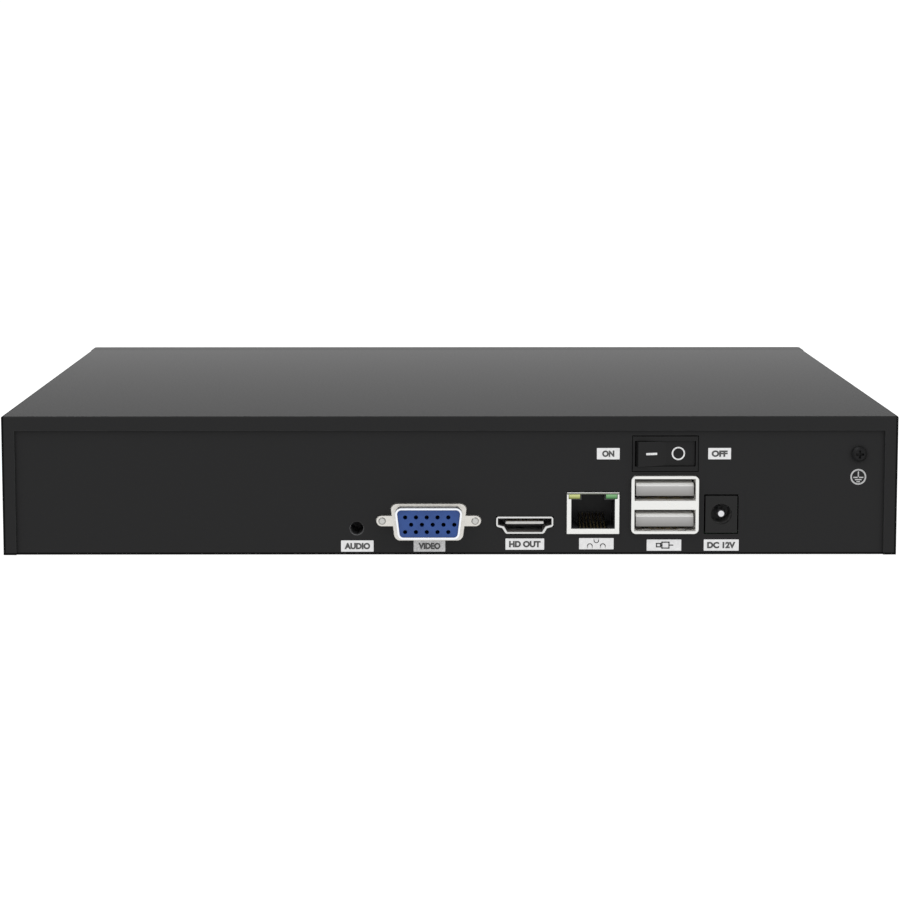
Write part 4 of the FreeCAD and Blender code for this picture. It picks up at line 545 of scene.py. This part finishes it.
def stroke_mesh(strokes, width, thick):
    """Flat ink strokes in X and Z: each stroke is a polyline, closed where it ends at its start."""
    form = bmesh.new()
    for points in strokes:
        for (x0, z0), (x1, z1) in zip(points, points[1:]):
            along = Vector((x1 - x0, 0, z1 - z0)).normalized()
            across = Vector((-along.z, 0, along.x)) * width / 2
            over = along * width / 2
            start = Vector((x0, 0, z0)) - over
            end = Vector((x1, 0, z1)) + over
            corners = [start - across, end - across, end + across, start + across]
            low = [form.verts.new(corner) for corner in corners]
            high = [form.verts.new(corner + Vector((0, -thick, 0))) for corner in corners]
            form.faces.new(low)
            form.faces.new(high[::-1])
            for corner in range(4):
                after = (corner + 1) % 4
                form.faces.new((low[after], low[corner], high[corner], high[after]))
    bmesh.ops.recalc_face_normals(form, faces=form.faces)
    mesh = bpy.data.meshes.new("strokes")
    form.to_mesh(mesh)
    form.free()
    return mesh


def ring_mesh(radius, width, thick, segments=48):
    """A flat ring in X and Z, facing -Y."""
    form = bmesh.new()
    turns = [2 * math.pi * step / segments for step in range(segments)]
    rings = []
    for y in (0, -thick):
        for reach in (radius - width / 2, radius + width / 2):
            rings.append([form.verts.new((reach * math.cos(turn), y, reach * math.sin(turn)))
                          for turn in turns])
    back_in, back_out, front_in, front_out = rings
    walls = [(back_in, back_out), (front_out, front_in), (back_out, front_out), (front_in, back_in)]
    for first, second in walls:
        for step in range(segments):
            after = (step + 1) % segments
            form.faces.new((first[step], first[after], second[after], second[step]))
    bmesh.ops.recalc_face_normals(form, faces=form.faces)
    mesh = bpy.data.meshes.new("ring")
    form.to_mesh(mesh)
    form.free()
    return mesh


def on_panel(mesh, x, z, lift=0.0):
    """Moves a mesh to a place on the socket panel, just clear of it."""
    mesh.transform(Matrix.Translation((x, PANEL_Y - PRINT_LIFT - lift, z)))
    return mesh


# ---------------------------------------------------------------- printing on the socket panel

def label(name, centre, width, words=None, words_width=0.0, finish=None):
    """A printed patch, with dark words on it if there are any."""
    x, z = centre
    patch = on_panel(rounded_panel(width, LABEL_HEIGHT, LABEL_CORNER, PRINT_THICK), x, z)
    finish_piece(patch, name + "_patch", finish or LABEL, "enclosure")
    if words:
        ink = on_panel(lettering(words, words_width, LETTER_HEIGHT, name), x, z, PRINT_THICK)
        finish_piece(ink, name + "_words", INK, "enclosure")


def printed_icon(name, centre, strokes, width, finish):
    """A drawing of flat strokes on top of a printed patch."""
    ink = on_panel(stroke_mesh(strokes, width, PRINT_THICK), *centre, PRINT_THICK)
    finish_piece(ink, name, finish, "enclosure")


def box_stroke(x, z, half_x, half_z):
    """A closed rectangle."""
    return [(x - half_x, z - half_z), (x + half_x, z - half_z), (x + half_x, z + half_z),
            (x - half_x, z + half_z), (x - half_x, z - half_z)]


def arch_stroke(x, z, radius, leg, opens):
    """A half circle with two short legs that point down (-1) or up (1)."""
    turns = [math.pi * step / 10 for step in range(11)]
    half = [(x - radius * math.cos(turn), z - opens * radius * math.sin(turn)) for turn in turns]
    return [(x - radius, z + opens * leg), *half, (x + radius, z + opens * leg)]


def under(node, shift, z):
    """A place on the panel, from a shift beside a node's middle and a height in millimetres."""
    return (middle(node).x + shift * MM, z * MM)


def print_labels():
    """The patches under the sockets, and the two beside the switch."""
    label("audio_label", under("audio_jack_body", 0.15, 4.8), 8.75 * MM, "AUDIO", 6.9 * MM)
    label("video_label", under("video_socket_shell", 0.2, 4.8), 8.5 * MM, "VIDEO", 5.9 * MM,
          LABEL_GREY)
    label("monitor_label", under("monitor_socket_shell", 0.05, 5.3), 10.4 * MM, "HD OUT",
          8.5 * MM)
    label("power_label", under("power_inlet_housing", 0.1, 5.0), 9.4 * MM, "DC 12V", 7.6 * MM)
    switch_z = middle("switch_rocker").z / MM
    label("on_label", under("switch_frame", -15.3, switch_z), 6.1 * MM, "ON", 3.25 * MM)
    label("off_label", under("switch_frame", 14.55, switch_z), 6.1 * MM, "OFF", 4.3 * MM)
    print_network_label()
    print_serial_label()


def print_network_label():
    """Three linked arches on a patch under the network socket."""
    network = under("network_socket_shield", 0.95, 5.4)
    label("network_label", network, 9.28 * MM)
    arches = [arch_stroke(0, 0.9 * MM, 0.62 * MM, 0.35 * MM, 1)]
    for side in (-1, 1):
        arches.append(arch_stroke(side * 1.75 * MM, -0.65 * MM, 0.65 * MM, 0.45 * MM, -1))
    printed_icon("network_icon", network, arches, 0.2 * MM, ICON_INK)


def print_serial_label():
    """A plain plug and lead on a patch under the serial sockets."""
    serial = under("serial_socket_shield", -0.15, 5.0)
    label("serial_label", serial, 9.3 * MM)
    plug = [box_stroke(-1.45 * MM, 0, 0.55 * MM, 0.45 * MM),
            box_stroke(0.4 * MM, 0, 0.95 * MM, 0.8 * MM),
            [(-0.9 * MM, 0), (-0.55 * MM, 0)],
            [(1.35 * MM, 0), (2.35 * MM, 0)]]
    printed_icon("serial_icon", serial, plug, 0.3 * MM, INK)


def print_earth_mark():
    """Protective earth symbol under the ground screw: a ring, a stem and three bars."""
    screw = middle("ground_screw")
    centre = (screw.x - 0.15 * MM, screw.z - 6.2 * MM)
    ring = on_panel(ring_mesh(1.93 * MM, 0.42 * MM, PRINT_THICK), *centre)
    finish_piece(ring, "earth_ring", DIM_INK, "enclosure")
    bars = [[(-1.2, -0.15), (1.2, -0.15)],
            [(-0.75, -0.75), (0.75, -0.75)],
            [(-0.3, -1.3), (0.3, -1.3)],
            [(0, 1.3), (0, -0.15)]]
    strokes = [[(x * MM, z * MM) for x, z in bar] for bar in bars]
    mark = on_panel(stroke_mesh(strokes, 0.32 * MM, PRINT_THICK), *centre)
    finish_piece(mark, "earth_bars", DIM_INK, "enclosure")


# ---------------------------------------------------------------- rocker marks

def rocker_spot(shift):
    """A matrix that lays a mark drawn in X and Z on the rocker, at rest, beside its middle."""
    rocker = NODES["switch_rocker"]
    to_local = rocker.matrix_world.inverted()
    start = Vector((middle("switch_frame").x + shift, PANEL_Y - 0.1, middle("switch_rocker").z))
    aim = (to_local @ (start + Vector((0, 1, 0))) - to_local @ start).normalized()
    found, spot, normal, _ = rocker.ray_cast(to_local @ start, aim)
    if not found:
        raise RuntimeError("the rocker is not in front of the mark")
    out = (rocker.matrix_world.to_3x3() @ normal).normalized()
    up = Vector((0, 0, 1))
    turn = Matrix((up.cross(out), -out, up)).transposed().to_4x4()
    return Matrix.Translation(rocker.matrix_world @ spot + out * PRINT_LIFT) @ turn


def rocker_marks():
    """The white line and ring printed on the rocker's two facets."""
    dash = rounded_panel(3.1 * MM, 0.6 * MM, 0.1 * MM, PRINT_THICK)
    dash.transform(rocker_spot(-3.74 * MM))
    finish_piece(dash, "rocker_line", WHITE_INK, "rocker")
    ring = ring_mesh(1.6 * MM, 0.38 * MM, PRINT_THICK)
    ring.transform(rocker_spot(3.52 * MM))
    finish_piece(ring, "rocker_ring", WHITE_INK, "rocker")


# ---------------------------------------------------------------- camera, lights and floor

def make_camera():
    """Facing the socket panel, a little above it, with a long lens."""
    data = bpy.data.cameras.new("camera")
    data.lens = CAMERA_LENS
    data.sensor_width = 36
    data.clip_start = 0.01
    camera = bpy.data.objects.new("camera", data)
    camera.location = (CAMERA_SIDE, PANEL_Y - CAMERA_DISTANCE, CAMERA_HEIGHT)
    camera.rotation_euler = (math.radians(90 - CAMERA_DROP), 0, math.radians(CAMERA_TURN))
    bpy.context.scene.collection.objects.link(camera)
    bpy.context.scene.camera = camera


def softbox(name, place, aim, size, power):
    """A rectangular area light that faces a point."""
    data = bpy.data.lights.new(name, "AREA")
    data.shape = "RECTANGLE"
    data.size, data.size_y = size
    data.energy = power
    lamp = bpy.data.objects.new(name, data)
    lamp.location = place
    lamp.rotation_euler = (Vector(aim) - Vector(place)).to_track_quat("-Z", "Y").to_euler()
    bpy.context.scene.collection.objects.link(lamp)


def make_studio():
    """A white world and two soft lights."""
    scene = bpy.context.scene
    scene.view_settings.view_transform = "Standard"
    world = bpy.data.worlds.new("studio")
    world.use_nodes = True
    background = world.node_tree.nodes["Background"]
    background.inputs["Color"].default_value = (1, 1, 1, 1)
    background.inputs["Strength"].default_value = 1.06
    scene.world = world
    softbox("top_box", (-0.5, -0.5, 1.2), (0, 0, 0.02), (0.9, 0.9), 9)
    softbox("side_box", (0.9, -0.9, 0.6), (0, 0, 0.02), (0.6, 0.6), 4)


def make_floor():
    """A wide pale floor that glows, so that it is as white as the photo's ground."""
    floor = Finish("floor", (0.12, 0.12, 0.12), 0.9, Specular_IOR_Level=0.0)
    patches = floor.spread(floor.noise(3, 2), 0, 1)
    floor.colour(floor.mix(patches, (0.115, 0.115, 0.115), (0.125, 0.125, 0.125)))
    floor.shader.inputs["Emission Color"].default_value = (1, 1, 1, 1)
    floor.shader.inputs["Emission Strength"].default_value = 1.0
    mesh = bpy.data.meshes.new("floor")
    corners = [(x * FLOOR_REACH, y * FLOOR_REACH, 0) for x, y in ((-1, -1), (1, -1), (1, 1), (-1, 1))]
    mesh.from_pydata(corners, [], [(0, 1, 2, 3)])
    mesh.materials.append(floor.material)
    plane = bpy.data.objects.new("floor", mesh)
    bpy.context.scene.collection.objects.link(plane)


make_camera()
make_studio()
make_floor()
dress_nodes()
print_labels()
print_earth_mark()
rocker_marks()
